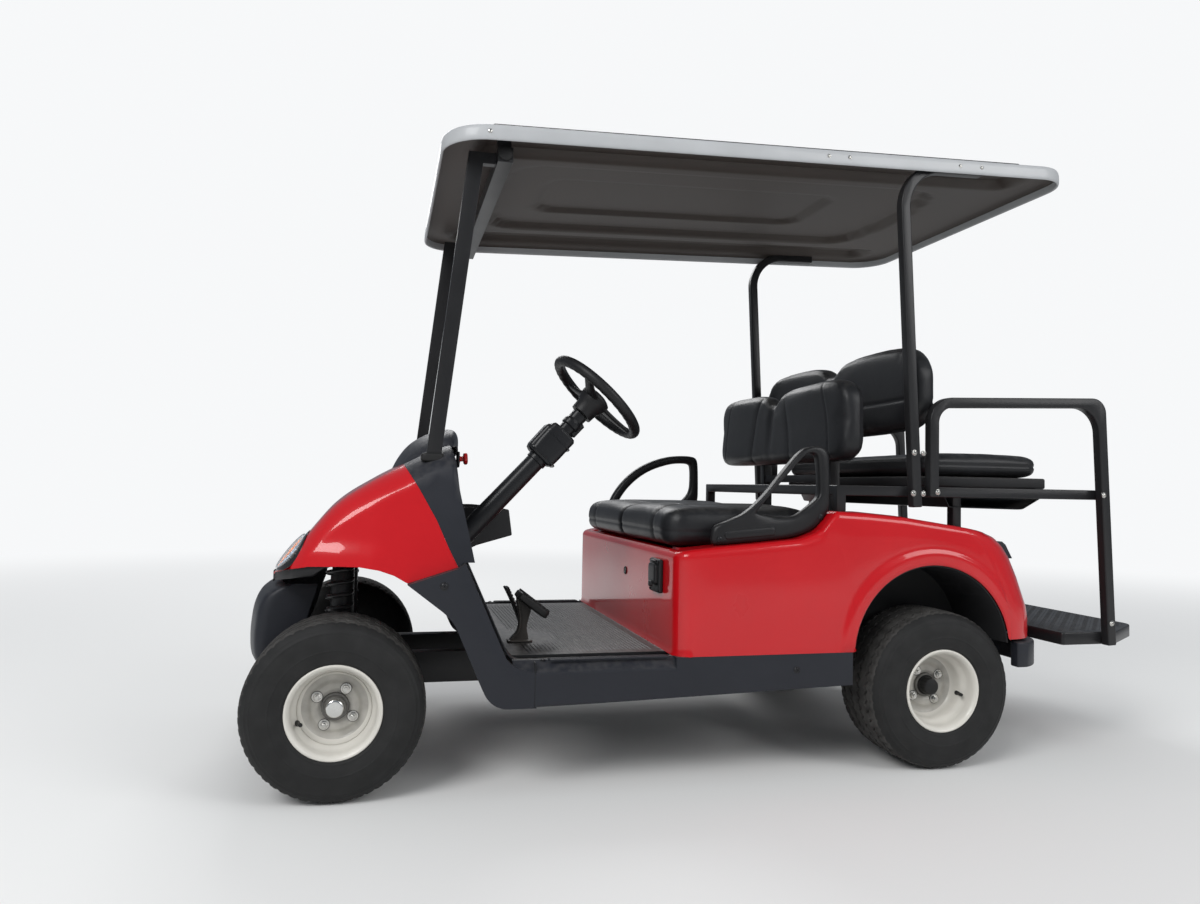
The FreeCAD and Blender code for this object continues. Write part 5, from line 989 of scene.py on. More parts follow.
def body_skin():
    """Grid over plan places and a line up the side, round the edge, over the deck and down inside."""
    zone, share = plan_share()
    top_x = plan_place(zone, share, np.full_like(share, TAIL_LINE[-1, 0]), 0.0)[0]
    top = np.interp(top_x, DECK_LINE[:, 0], DECK_LINE[:, 1])
    low = np.where(zone >= 3, TAIL_SILL_Z, SILL_Z)
    for _ in range(25):
        x = plan_place(zone, share, low, 0.0)[0]
        over = np.sqrt(np.clip(ARCH_R**2 - (x - ARCH_X) ** 2, 0, None))
        arch = np.where(np.abs(x - ARCH_X) < ARCH_R, ARCH_Z + over, 0.0)
        edge = np.maximum(np.where(x < ARCH_X - 200, TAIL_SILL_Z, SILL_Z), arch)
        low = np.where(zone == 2, 0.5 * low + 0.5 * edge, low)
    climb = 1 - (1 - np.linspace(0, 1, 26)) ** 1.15
    angle = np.linspace(0, np.pi / 2, 9)[1:]
    z = np.concatenate([low + (top - EDGE_ROLL - low) * climb[None, :],
                        top - EDGE_ROLL + EDGE_ROLL * np.sin(angle)[None, :]], axis=1)
    inset = np.concatenate([np.zeros(len(climb)), EDGE_ROLL * (1 - np.cos(angle))])[None, :]
    x, y, out_x, out_y = plan_place(zone, share, z, inset)
    # The lip around the wheel arch stands proud and its edge turns in; the front's foot turns out.
    radius = np.hypot(x - ARCH_X, z - ARCH_Z) - ARCH_R
    proud = LIP_OUT / (1 + np.exp((radius - LIP_WIDE) / LIP_SOFT))
    proud = (proud - LIP_TURN * np.clip(1 - radius / 4.0, 0, 1)) * (zone == 2) * (z > SILL_Z + 1)
    foot = FOOT_OUT * np.clip(1 - (z - low) / FOOT_HIGH, 0, 1) ** 2 * (zone <= 1)
    # Sides swell a little between sill and shoulder, as a moulded panel does.
    belly = BELLY * np.sin(np.clip((z - low) / np.maximum(top - low, 1), 0, 1) * np.pi) * (zone == 2)
    belly = belly * np.clip(radius / 60.0, 0, 1) * np.clip((x + 745) / 80.0, 0, 1)
    out = proud + foot + belly * np.clip((215 - x) / 60.0, 0, 1)
    x, y = x + out * out_x, y + out * out_y
    # The seat box's front part carries the cushion, so its edge turns in only a little there.
    edge_x, edge_y = x[:, -1:], y[:, -1:]
    end_x = np.clip(edge_x, -693.0, 226.0)
    end_y = np.minimum(edge_y, np.where(edge_x > -306, 492.0, 420.0))
    run = np.linspace(0, 1, 9)[None, 1:]
    drop = np.array([2.0, 10.0, 60.0])[None, :]
    pull = np.array([1.0, 2.0, 2.0])[None, :] * (end_y > 300)
    x = np.concatenate([x, edge_x + (end_x - edge_x) * run, end_x + 0 * drop], axis=1)
    y = np.concatenate([y, edge_y + (end_y - edge_y) * run, end_y - pull], axis=1)
    z = np.concatenate([z, top + DECK_CROWN * np.sin(run * np.pi) * (edge_x < -306),
                        np.maximum(top - drop, 608.0)], axis=1)
    half = np.stack([x, y, z], axis=-1)
    return np.concatenate([half, half[-2:0:-1] * np.array([1.0, -1.0, 1.0])], axis=0)


body_walls = walled(body_skin(), 4.5, (-200.0, 0.0, 450.0), ring=True)
rear_shell = surface("rear_body_skin", *body_walls, red_gel, angle=48)
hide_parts("rear_body")
# Strips that cover the flat tray under the front cushion, round its hole over the batteries.
TRAY_HALF, TRAY_LOW, TRAY_HIGH = 491, 614, 623.5
tray_strips = [slab((-305, -TRAY_HALF, TRAY_LOW), (-186, TRAY_HALF, TRAY_HIGH)),
               slab((218, -TRAY_HALF, TRAY_LOW), (250, TRAY_HALF, 619.5)),
               slab((-106, -TRAY_HALF, TRAY_LOW), (218, -422, TRAY_HIGH)),
               slab((-106, 422, TRAY_LOW), (218, TRAY_HALF, TRAY_HIGH)),
               slab((-200, -TRAY_HALF, TRAY_LOW), (-106, TRAY_HALF, 623.4))]
surface("seat_tray", *gathered(tray_strips), red_gel, angle=30)

# Liners, bag well and bumper corners: black grained mouldings that clip to the body from inside.
# The liners fill the arches over the rear wheels, and the corners wrap the foot of the tail.
liner_plastic = finish_coat("liner_plastic", (0.014, 0.014, 0.015), 0.6, grain=0.6, grain_size=700, dust=0.4)
eased("wheel_liners", 1.5, liner_plastic)
eased("bag_well", 3.0, well_black)
eased("rear_bumper", 5.0, trim_plastic, steps=3)

# Charger socket: a moulded black plate with a rounded cover and a finger latch, screwed to the seat
# box beside the driver's feet.
socket_black = finish_coat("socket_black", (0.016, 0.016, 0.017), 0.36, grain=0.3)
eased("charger_receptacle", 5.0, socket_black, steps=4)
cover = pillow((275, 424, 548), SQUARE, (7, 33, 30), 5.0)
latch = pillow((283, 424, 520), SQUARE, (5, 12, 8), 3.5)
hinge = pillow((275, 424, 584), SQUARE, (6, 26, 4), 3.0)
surface("charger_cover", *gathered([cover, latch, hinge]), socket_black, angle=60)
screws = [screw_head((272.2, 424 + a, 543 + b), (1, 0, 0), 3.4, 2.2) for a in (-38, 38) for b in (-40, 40)]
surface("charger_screws", *gathered(screws), black_oxide, angle=40)

# Key switch in the seat box's front: a dark round bezel, turned, with a bright slotted barrel that is
# pressed into it.
BEZEL = [(-2, 13), (1.5, 13), (3.0, 11.5), (3.2, 9.5), (1.2, 8.8)]
bezel = turned_form(BEZEL, (258.4, 77, 523), (1, 0, 0), 40)
surface("key_bezel", *bezel, socket_black, angle=35)
surface("key_slot", *slab((257.0, 75.6, 516), (260.4, 78.4, 530)), zinc, angle=30)

# Tail lamps: a dark moulded bezel strip on each corner of the tail, with a clear-coated red lens
# block at its top.
LENS_Y, LENS_Z, LENS_LIFT, LENS_LIP, LENS_SUNK = (407, 469), (594, 642), 47.0, 5.0, 1.0
lens_red = finish_coat("lens_red", (0.5, 0.006, 0.008), 0.12, coat=1.0, mottle=0.1, drift_size=40)
eased("tail_lamps", 4.0, trim_plastic, steps=3)


def lens_patch(rows=30, columns=24):
    """Panel that follows the tail: plan and slope as the body's, moved out, its edge sunk and rounded."""
    v, u = np.linspace(0, 1, columns)[None, :], np.linspace(0, 1, rows)[:, None]
    wide, high = LENS_Y[1] - LENS_Y[0], LENS_Z[1] - LENS_Z[0]
    y, z = LENS_Y[0] + wide * v + 0 * u, LENS_Z[0] + high * u + 0 * v
    edge = np.minimum(np.minimum(u, 1 - u) * high, np.minimum(v, 1 - v) * wide)
    rise = LENS_LIFT * np.sqrt(np.clip(1 - (1 - np.clip(edge / LENS_LIP, 0, 1)) ** 2, 0, 1)) - LENS_SUNK
    angle = np.arcsin(np.clip(y - (BODY_HALF - TAIL_CORNER), 0, TAIL_CORNER) / TAIL_CORNER)
    x = tail_x(z) + TAIL_CORNER - TAIL_CORNER * np.cos(angle)
    return np.stack([x - rise * np.cos(angle), y + rise * np.sin(angle), z], axis=-1)


for name, side in (("tail_lens_right", -1), ("tail_lens_left", 1)):
    lens = walled(lens_patch() * np.array([1, side, 1]), 4.0, (-700.0, side * 300.0, 600.0))
    surface(name, *lens, lens_red, angle=50)


# Front seat: a two-place cushion of black vinyl over foam. The panels swell between the seams, a
# stitched channel parts the two places, and piping runs round the top panel's edge.
PAD_MESH, PAD_PRESSURE, PAD_STEPS, PAD_STIFF, PAD_BEND = 10.0, 4.0, 15, 60, 8


def vinyl():
    """Black vinyl: leather-like cell bump over soft wrinkles, a little worn and dusty."""
    material = finish_coat("seat_vinyl", (0.012, 0.0125, 0.014), 0.40, mottle=0.18, drift_size=9, dust=0.10)
    tree = material.node_tree
    place = shader_node(tree, "TexCoord", {}).outputs["Object"]
    cells = shader_node(tree, "TexVoronoi", {"Vector": place, "Scale": 620.0})
    folds = shader_node(tree, "TexNoise", {"Vector": place, "Scale": 8.0, "Detail": 4.0, "Distortion": 1.4})
    fine = bumped(tree, cells.outputs["Distance"], 0.28, 0.0004)
    broad = bumped(tree, folds.outputs["Fac"], 0.16, 0.005, Normal=fine)
    set_sockets(tree, tree.nodes["Principled BSDF"], {"Normal": broad})
    return material


def padded_block(half, corner, edge, shape, across=46, flat=12, around=14, bend=12):
    """Closed cushion drawn as rings: a rounded rectangle that draws in over a round edge to its middle.

    Each ring is inset from the outline, by edge * (1 - cos) where the side turns over and evenly on the
    flats. The shape turns the two offsets, and a height share from -1 to 1, into millimetres.
    """
    turn = np.linspace(-np.pi / 2, np.pi / 2, 2 * around + 1)
    reach = np.linspace(min(half), edge, flat, endpoint=False)
    inset = np.concatenate([reach, edge * (1 - np.cos(turn) ** 0.75), reach[::-1]])[:, None]
    share = np.concatenate([-np.ones(flat), bent(np.sin(turn), 0.75), np.ones(flat)])[:, None]
    angle, sides_a, sides_b = [], [], []
    signs = [(1, 1), (-1, 1), (-1, -1), (1, -1), (1, 1)]
    run = np.linspace(0, 1, across + 2)[1:-1]
    for k in range(4):
        angle += [np.linspace(0, np.pi / 2, bend) + k * np.pi / 2, np.full(across, (k + 1) * np.pi / 2)]
        for sides, n in ((sides_a, 0), (sides_b, 1)):
            sides += [np.full(bend, float(signs[k][n])), signs[k][n] + (signs[k + 1][n] - signs[k][n]) * run]
    angle, sides_a, sides_b = (np.concatenate(part)[None, :] for part in (angle, sides_a, sides_b))
    radius = np.maximum(corner - inset, 0)
    a = sides_a * np.maximum(half[0] - inset - radius, 0) + radius * np.cos(angle)
    b = sides_b * np.maximum(half[1] - inset - radius, 0) + radius * np.sin(angle)
    return shape(a, b, share + 0 * a), grid_faces(*a.shape, close_columns=True)


def finished_copy(thing):
    """New mesh of an object as its modifiers shape it."""
    depth = bpy.context.evaluated_depsgraph_get()
    return bpy.data.meshes.new_from_object(thing.evaluated_get(depth))


def swelled(name, form, cap, body):
    """Cushion blown up a little by a cloth simulation, with each point's movement held to a cap."""
    raw = surface(name + "_raw", *form, seat_vinyl, angle=180)
    mesh = raw.data
    remesh = raw.modifiers.new("skin", "REMESH")
    remesh.mode = "VOXEL"
    remesh.voxel_size = PAD_MESH / 1000
    mesh = finished_copy(raw)
    pad = bpy.data.objects.new(name, mesh)
    bpy.context.collection.objects.link(pad)
    bpy.data.objects.remove(raw)
    rest = triples(mesh.vertices, "co")
    cloth = pad.modifiers.new("pad", "CLOTH")
    cloth.settings.use_pressure = True
    cloth.settings.uniform_pressure_force = PAD_PRESSURE
    cloth.settings.quality = 4
    cloth.settings.tension_stiffness = PAD_STIFF
    cloth.settings.compression_stiffness = PAD_STIFF
    cloth.settings.bending_stiffness = PAD_BEND
    cloth.settings.effector_weights.gravity = 0
    for step in range(1, PAD_STEPS + 1):
        bpy.context.scene.frame_set(step)
    depth = bpy.context.evaluated_depsgraph_get()
    shift = triples(pad.evaluated_get(depth).to_mesh().vertices, "co") - rest
    pad.evaluated_get(depth).to_mesh_clear()
    length = np.linalg.norm(shift, axis=1, keepdims=True)
    shift *= np.minimum(1.0, cap / 1000 / np.maximum(length, 1e-9))
    pad.modifiers.clear()
    mesh.vertices.foreach_set("co", (rest + shift).ravel())
    bpy.context.scene.frame_set(1)
    dressed(mesh, seat_vinyl)
    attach(pad, body)
    return pad


def sunk(pad, rule, node, spread=(0.0, 0.0, 0.0)):
    """Finished cushion: one subdivision, a fit to its solid's box, and seams pressed in by the rule.

    The spread is how far the soft edges stand out past the solid's box on each side.
    """
    finer = pad.modifiers.new("finer", "SUBSURF")
    finer.levels = finer.render_levels = 1
    mesh = finished_copy(pad)
    pad.modifiers.clear()
    pad.data = mesh
    corners = triples(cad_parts[node].data.vertices, "co") * 1000
    box_low, box_high = corners.min(axis=0) - spread, corners.max(axis=0) + spread
    places = triples(mesh.vertices, "co") * 1000
    low, high = places.min(axis=0), places.max(axis=0)
    places = box_low + (places - low) / (high - low) * (box_high - box_low)
    mesh.vertices.foreach_set("co", (rule(places) / 1000).astype(np.float32).ravel())
    dressed(mesh, seat_vinyl)
    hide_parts(node)


def groove(distance, width, depth):
    """Soft channel: depth at distance zero that fades out over the width."""
    return depth * np.exp(-(distance / width) ** 2)


def ease_in(value, start, span):
    """Share that runs from nought to one over a span that begins at the start."""
    return np.clip((value - start) / span, 0, 1)


seat_vinyl = vinyl()
SEAT_X, SEAT_Z, SEAT_HALF_HIGH, SEAT_CROWN, PLACE_Y, SEAT_BASE = 33.0, 681.0, 52.0, 8.0, 238.0, 624.6


def seat_shape(a, b, c):
    """Front cushion in millimetres: crowned over each place, its nose rolled down, its back tucked in."""
    nose = ease_in(a, 90, 120.0) ** 2
    dome = np.cos(np.clip((np.abs(b) - PLACE_Y) / PLACE_Y, -1, 1) * np.pi / 2)
    z = (SEAT_Z + SEAT_HALF_HIGH * c + SEAT_CROWN * dome * np.clip(c, 0, 1) - 9.0 * nose * (c > 0)
         - 7.0 * ease_in(-a, 150, 60.0) * (c > 0))
    return np.stack([SEAT_X + a, b, z], axis=-1)


def seat_seams(p):
    """Channel between the places, a soft valley beside each bolster, a front roll seam and the welt."""
    x, y, z = p[:, 0], p[:, 1], p[:, 2]
    up, front = ease_in(z, 700, 25.0), ease_in(x, 205, 35.0)
    valley = 0
    for edge in SIDES:
        line = edge * (352.0 - 22.0 * np.sin(ease_in(x, -180, 400.0) * np.pi))
        valley = valley + groove(y - line, 16.0, 5.0) + groove(y - line, 3.2, 2.2)
    middle = groove(y, 15.0, 7.0) + groove(y, 4.0, 3.5)
    roll = groove(x - 158.0 + 9.0 * np.cos(y / PLACE_Y * np.pi), 4.0, 2.6) * (np.abs(y) < 446)
    back = groove(x + 150.0, 4.0, 2.4) * (np.abs(y) < 446)
    z = z - (valley + middle + roll + back) * up
    welt = groove(z - 668.0, 3.4, 2.8)
    y = y - np.sign(y) * ease_in(np.abs(y), 452, 20.0) * welt
    return np.stack([x - front * (middle * 0.9 + valley * 0.6 + welt), y, np.maximum(z, SEAT_BASE)], axis=-1)


seat_form = padded_block((214.0, 476.0), 56.0, 34.0, seat_shape)
seat_pad = swelled("seat_cushion_pad", seat_form, 5.0, "front_seat")
sunk(seat_pad, seat_seams, "seat_cushion", (9.0, 13.0, 0.0))

# Front backrest: a long pad of vinyl over foam with two shoulders and a notch between, curved seams
# over each place, and piping round both ends. It is bolted to two posts.
SHOULDER = ([0, 26, 62, 120, 230, 340, 410, 460, 486], [-42, -38, -14, -3, 0, -3, -10, -22, -36])
BACK_X, BACK_Z, BACK_HALF_HIGH, BACK_HALF_WIDE = -316.0, 1004.0, 120.0, 480.0


def backrest_shape(a, b, c):
    """Front backrest in millimetres: thickness along X, its top dipped by the shoulders' line."""
    end = (np.abs(b) / BACK_HALF_WIDE) ** 4
    upper, lower = (np.clip(s * a / BACK_HALF_HIGH, 0, 1) for s in (1, -1))
    z = BACK_Z + a + upper * smooth_through(np.abs(b), *SHOULDER) + 6.0 * lower * end
    x = BACK_X + 38.0 * c - 13.0 * end + 7.0 * (c > 0) * np.clip(c, 0, 1) * lower
    return np.stack([x, b, z], axis=-1)


def shoulder_seams(p, half_width, middle_x, low, high, ledge=None):
    """Seams of a backrest: centre valley, an arc each side of each place, end piping, and a mid ledge."""
    x, y, z = p[:, 0], p[:, 1], p[:, 2]
    front = ease_in(x, middle_x + 12, 16.0)
    height = ease_in(z, low, high - low)
    sink = groove(y, 20.0, 9.0) * np.clip(height * 1.5, 0, 1)
    for edge in SIDES:
        arc = edge * (150.0 - 70.0 * height ** 1.8)
        outer = edge * (half_width * 0.83 - 60.0 * height ** 2.2)
        sink = sink + groove(y - arc, 3.2, 2.6) + groove(y - outer, 3.2, 2.6) + groove(y - arc, 18.0, 2.5)
    if ledge is not None:
        sink = sink + groove(z - ledge, 4.0, 4.0)
        sink = sink - 6.0 * ease_in(-z, -ledge, 24.0) * ease_in(z, low + 8, 40.0)
    x = x - front * sink
    rim = groove(np.abs(x - middle_x) - 30.0, 3.4, 2.2)
    ends = ease_in(np.abs(y), half_width - 40, 20.0)
    from_middle = z - (low + high) / 2
    tops = ease_in(np.abs(from_middle), (high - low) / 2 - 50, 25.0) * (1 - ends)
    return np.stack([x, y - np.sign(y) * rim * ends, z - np.sign(from_middle) * rim * tops], axis=-1)


back_form = padded_block((BACK_HALF_HIGH, BACK_HALF_WIDE), 62.0, 30.0, backrest_shape)
back_pad = swelled("front_backrest_pad", back_form, 7.0, "cart")
sunk(back_pad, lambda p: shoulder_seams(p, 486.0, -314.0, 877.0, 1130.0), "front_backrest")
bracket_paint = finish_coat("bracket_paint", (0.013, 0.013, 0.014), 0.36, grain=0.15, dust=0.1)
eased("backrest_frame", 2.0, bracket_paint)

# Rear backrest, facing aft, on the same frame as the struts: vinyl over foam, with two shoulders and
# a padded lower ledge.
REAR_SHOULDER = ([0, 26, 66, 130, 260, 380, 450, 500, 524], [-44, -40, -16, -4, 0, -6, -18, -40, -62])
REAR_BACK_X, REAR_BACK_Z, REAR_BACK_HALF_HIGH, REAR_BACK_HALF_WIDE = -534.0, 1106.0, 128.0, 518.0


def rear_back_shape(a, b, c):
    """Rear backrest in millimetres: as the front one, a little taller, its shell side flatter."""
    end = (np.abs(b) / REAR_BACK_HALF_WIDE) ** 4
    upper, lower = (np.clip(s * a / REAR_BACK_HALF_HIGH, 0, 1) for s in (1, -1))
    z = REAR_BACK_Z + a + upper * smooth_through(np.abs(b), *REAR_SHOULDER) + 16.0 * lower * end
    return np.stack([REAR_BACK_X + 35.0 * c + 6.0 * end, b, z], axis=-1)


def rear_back_seams(p):
    """The front backrest's seams, turned to face aft, with the ledge seam low on the pad."""
    aft = np.array([-1.0, 1.0, 1.0])
    p = shoulder_seams(p * aft, 523.0, 533.0, 972.0, 1240.0, ledge=1062.0) * aft
    sink = groove(p[:, 2] - 1068.0, 4.0, 3.0) + groove(np.abs(p[:, 1]) - 488.0, 4.0, 1.6)
    p[:, 0] -= ease_in(p[:, 0], -522, 12.0) * sink
    return p


rear_back_form = padded_block((REAR_BACK_HALF_HIGH, REAR_BACK_HALF_WIDE), 84.0, 26.0, rear_back_shape)
rear_back_pad = swelled("rear_backrest_pad", rear_back_form, 5.0, "cart")
sunk(rear_back_pad, rear_back_seams, "rear_backrest")

# Rear cushion on its board: a flat two-place pad of vinyl over foam, its upholstery stapled round the
# board's edge.
BENCH_X, BENCH_Z, BENCH_SEAM_X, BENCH_SEAM_Y, BENCH_BASE = -773.5, 876.0, 168.0, 428.0, 840.8


def bench_shape(a, b, c):
    """Rear cushion in millimetres: flat below, softly crowned above, its ends rounded in plan."""
    crown = 5.0 * np.clip(c, 0, 1) * (1 - (a / 200.0) ** 2)
    return np.stack([BENCH_X + a, b, BENCH_Z + 32.0 * c + crown], axis=-1)


def bench_seams(p):
    """Centre channel, a seam inside each end and long edge, a welt half-way up, and a flat base."""
    x, y, z = p[:, 0] - BENCH_X, p[:, 1], p[:, 2]
    inner = (np.abs(x) < BENCH_SEAM_X) & (np.abs(y) < BENCH_SEAM_Y)
    sink = groove(y, 9.0, 6.0) + groove(np.abs(y) - BENCH_SEAM_Y, 3.6, 2.4) * (np.abs(x) < BENCH_SEAM_X + 2)
    sink = sink + groove(np.abs(x) - BENCH_SEAM_X, 3.6, 2.4) * (np.abs(y) < BENCH_SEAM_Y + 2)
    for place in (-290.0, -140.0, 140.0, 290.0):
        sink = sink + groove(y - place, 4.5, 2.6) * inner
    z = z - sink * ease_in(z, 890, 12.0)
    welt = groove(z - BENCH_Z, 3.2, 2.4)
    y = y - np.sign(y) * welt * ease_in(np.abs(y), 434, 14.0)
    return np.stack([BENCH_X + x - np.sign(x) * welt * ease_in(np.abs(x), 170, 14.0), y,
                     np.maximum(z, BENCH_BASE)], axis=-1)


bench_form = padded_block((199.0, 461.0), 46.0, 26.0, bench_shape)
bench_pad = swelled("rear_cushion_pad", bench_form, 7.0, "rear_seat")
sunk(bench_pad, bench_seams, "rear_seat_cushion")
board_plastic = finish_coat("seat_board", (0.015, 0.015, 0.016), 0.55, grain=0.5, dust=0.2)
eased("rear_seat_board", 6.0, board_plastic, "rear_seat", steps=3)

# Hip restraints: moulded black plastic loops beside the seat, grained, round in section, with a solid
# foot that follows the seat box and is bolted to it. The far one is a plain arch.
# Columns of the four outlines: X, height.
LOOP_FOOT = [(142, 633), (20, 644), (-91, 655), (-159, 678), (-190, 712), (-208, 735), (-208, 800),
             (-206, 880), (-200, 908), (-180, 917)]
NEAR_EDGE = np.array(LOOP_FOOT + [(-140, 914), (-112, 898), (-60, 838), (-10, 776), (50, 722), (100, 702),
                                  (140, 690), (147, 664), (147, 640)], dtype=float)
NEAR_HOLE = np.array([(-6, 722), (20, 724), (4, 742), (-60, 815), (-120, 880), (-136, 892), (-150, 896),
                      (-166, 890), (-170, 874), (-174, 810), (-174, 780), (-164, 762), (-110, 722),
                      (-84, 714), (-40, 716)], dtype=float)
FAR_EDGE = np.array(LOOP_FOOT + [(-130, 918), (-70, 912), (0, 890), (60, 856), (110, 810), (146, 760),
                                 (163, 720), (161, 680), (150, 640)], dtype=float)
FAR_HOLE = np.array([(-166, 886), (-120, 887), (-76, 880), (-10, 858), (40, 828), (84, 788), (116, 744),
                     (130, 712), (124, 690), (100, 684), (0, 692), (-70, 700), (-100, 708), (-150, 748),
                     (-172, 776), (-175, 830), (-173, 872)], dtype=float)
LOOP_Y, LOOP_HALF = 532.0, 18.0


def smooth_ring(corners, rounds=3):
    """Closed outline with its corners cut evenly a few times, so that it runs in smooth bends."""
    for _ in range(rounds):
        after = np.roll(corners, -1, axis=0)
        cuts = [0.75 * corners + 0.25 * after, 0.25 * corners + 0.75 * after]
        corners = np.stack(cuts, axis=1).reshape(-1, 2)
    return corners


def seen_from(centre, ring, turns):
    """Points of a ring at given turns about a centre."""
    rays = ring - centre
    turn = np.unwrap(np.arctan2(rays[:, 1], rays[:, 0]))
    if turn[-1] < turn[0]:
        turn, rays = turn[::-1], rays[::-1]
    shift = np.floor((turns - turn[0]) / (2 * np.pi)) * 2 * np.pi
    turn, rays = np.append(turn, turn[0] + 2 * np.pi), np.vstack([rays, rays[:1]])
    return centre + np.stack([np.interp(turns - shift, turn, rays[:, k]) for k in (0, 1)], axis=-1)


def moulded_loop(edge, hole, y, centre, power, count=200, around=20):
    """Plate with a hole and round edges: a superellipse section carried round between the two outlines."""
    turns, v = full_turn(count), full_turn(around)
    outer, inner = (seen_from(np.asarray(centre, float), smooth_ring(ring), turns) for ring in (edge, hole))
    share, level = bent(np.cos(v), 2 / power), bent(np.sin(v), 2 / power)
    flat = (outer + inner)[:, None, :] / 2 + (outer - inner)[:, None, :] / 2 * share[None, :, None]
    depth = np.broadcast_to(y + LOOP_HALF * level[None, :], flat.shape[:2])
    points = np.stack([flat[..., 0], depth, flat[..., 1]], axis=-1)
    return points, grid_faces(count, around, close_rows=True, close_columns=True)


loop_plastic = finish_coat("loop_plastic", (0.012, 0.012, 0.013), 0.38, grain=0.3, grain_size=800, dust=0.06)
near_loop = moulded_loop(NEAR_EDGE, NEAR_HOLE, LOOP_Y, (-120, 746), 3.0)
far_loop = moulded_loop(FAR_EDGE, FAR_HOLE, -LOOP_Y, (-20, 780), 2.6)
loops = surface("hip_loops", *gathered([near_loop, far_loop]), loop_plastic, angle=60)
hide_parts("hip_restraints")
loop_bead = bead((112, 549.4, 662), (-40, 549.4, 676), (0, 1, 0), 24, 2.6, 60)
surface("loop_panel", *loop_bead, loop_plastic, angle=60)
loop_bolts = [screw_head((x, s * 549.6, z), (0, s, 0), 6.0, 2.6)
              for s in SIDES for x, z in ((126, 652), (-176, 716))]
surface("loop_bolts", *gathered(loop_bolts), black_oxide, angle=40)

# Steering: a column in moulded plastic, carried from the dash to a clamshell shroud, and a wheel with
# a round foam rim, three spokes and a padded hub. All is black and finely grained.
WHEEL_MIDDLE, TILT, RIM_RADIUS, RIM_THICK = np.array([419.0, 300.0, 1050.0]), math.radians(43.0), 149.0, 15.8
WHEEL_UP = np.array([-math.sin(TILT), 0.0, math.cos(TILT)])
WHEEL_FORE = np.array([math.cos(TILT), 0.0, math.sin(TILT)])
WHEEL_SIDE = np.array([0.0, 1.0, 0.0])
# Columns of each cover: depth below the hub, upper and lower reach, half width.
TUBE = [(244, 0, 0, 0), (244.4, 27, 27, 27), (246, 30, 30, 30), (262, 30.5, 30.5, 30.5), (264, 27, 27, 27),
        (420, 27.5, 27.5, 27.5), (560, 29, 29, 29), (614, 33, 33, 33), (615, 0, 0, 0)]
SHROUD = [(140, 0, 0, 0), (140.5, 30, 30, 26), (143, 40, 38, 34), (149, 43.5, 43, 37), (168, 46, 43, 38),
          (212, 45, 44, 38), (238, 42, 43, 37), (246, 38, 39, 35), (251, 28, 30, 28), (251.4, 0, 0, 0)]
CROWN = [(154, 0, 0, 0), (154.5, 40, 0, 28), (158, 50, 0, 31), (166, 53, 0, 32), (236, 51, 0, 32),
         (246, 47, 0, 30), (250, 38, 0, 26), (250.4, 0, 0, 0)]
NECK = [(72, 0, 0, 0), (72.4, 24, 24, 24), (96, 23, 23, 23), (104, 27, 27, 27), (118, 27, 27, 27),
        (122, 22, 22, 22), (142, 22, 22, 22), (143, 0, 0, 0)]
LOCK = [(86, 0, 0, 0), (86.4, 0, 26, 9), (90, 0, 34, 12), (132, 0, 34, 12), (137, 0, 26, 9), (137.4, 0, 0, 0)]
HUB = [(-69, 27), (-68, 34), (-40, 36), (-34, 40), (-16, 45), (-6, 47), (0, 45.5), (5, 38), (6, 26)]
column_plastic = finish_coat("column_plastic", (0.012, 0.0125, 0.014), 0.34, grain=0.08, dust=0.06)


def pinched(points):
    """Tube of rings whose first and last rings are drawn together to points."""
    points[0], points[-1] = points[0].mean(axis=0), points[-1].mean(axis=0)
    return points, grid_faces(*points.shape[:2], close_columns=True)


def sleeve(stations, power, around=40, steps=60):
    """Form along the column through its stations.

    Its section is a superellipse of the given power, so low powers are round and high ones boxy.
    """
    stations = np.asarray(stations, float)
    depth = np.unique(np.concatenate([np.linspace(stations[0, 0], stations[-1, 0], steps), stations[:, 0]]))
    upper, lower, wide = (np.interp(depth, stations[:, 0], stations[:, k])[:, None] for k in (1, 2, 3))
    turn = full_turn(around)[None, :]
    rise, span = bent(np.cos(turn), 2 / power), bent(np.sin(turn), 2 / power)
    return pinched(WHEEL_MIDDLE - depth[:, None, None] * WHEEL_UP
                   + (rise * np.where(rise > 0, upper, lower))[..., None] * WHEEL_FORE
                   + (span * wide)[..., None] * WHEEL_SIDE)


ribs = [sleeve([(d, 0, 0, 0), (d + 0.3, 47, 48, 39.4), (d + 4.2, 47, 48, 39.4), (d + 4.5, 0, 0, 0)], 5.0,
               steps=4) for d in (172.0, 236.0)]
covers = [sleeve(TUBE, 2.3), sleeve(SHROUD, 5.0), sleeve(CROWN, 6.0), sleeve(NECK, 2.6), sleeve(LOCK, 3.5)]
column = surface("steering_column_covers", *gathered(covers + ribs), column_plastic, angle=32)
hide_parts("steering_column")


def grip_ring(radius, thick, count=144, around=20):
    """Torus in the wheel's plane: a circular section with shallow finger dents on its underside."""
    u, v = full_turn(count)[:, None], full_turn(around)[None, :]
    section = thick - 1.0 * np.clip(-np.sin(v), 0, 1) * (0.5 + 0.5 * np.cos(u * 36))
    reach = radius + section * np.cos(v)
    points = (WHEEL_MIDDLE + (reach * np.cos(u))[..., None] * WHEEL_FORE
              + (reach * np.sin(u))[..., None] * WHEEL_SIDE
              + (section * np.sin(v) + 0 * u)[..., None] * WHEEL_UP)
    return points, grid_faces(count, around, close_rows=True, close_columns=True)


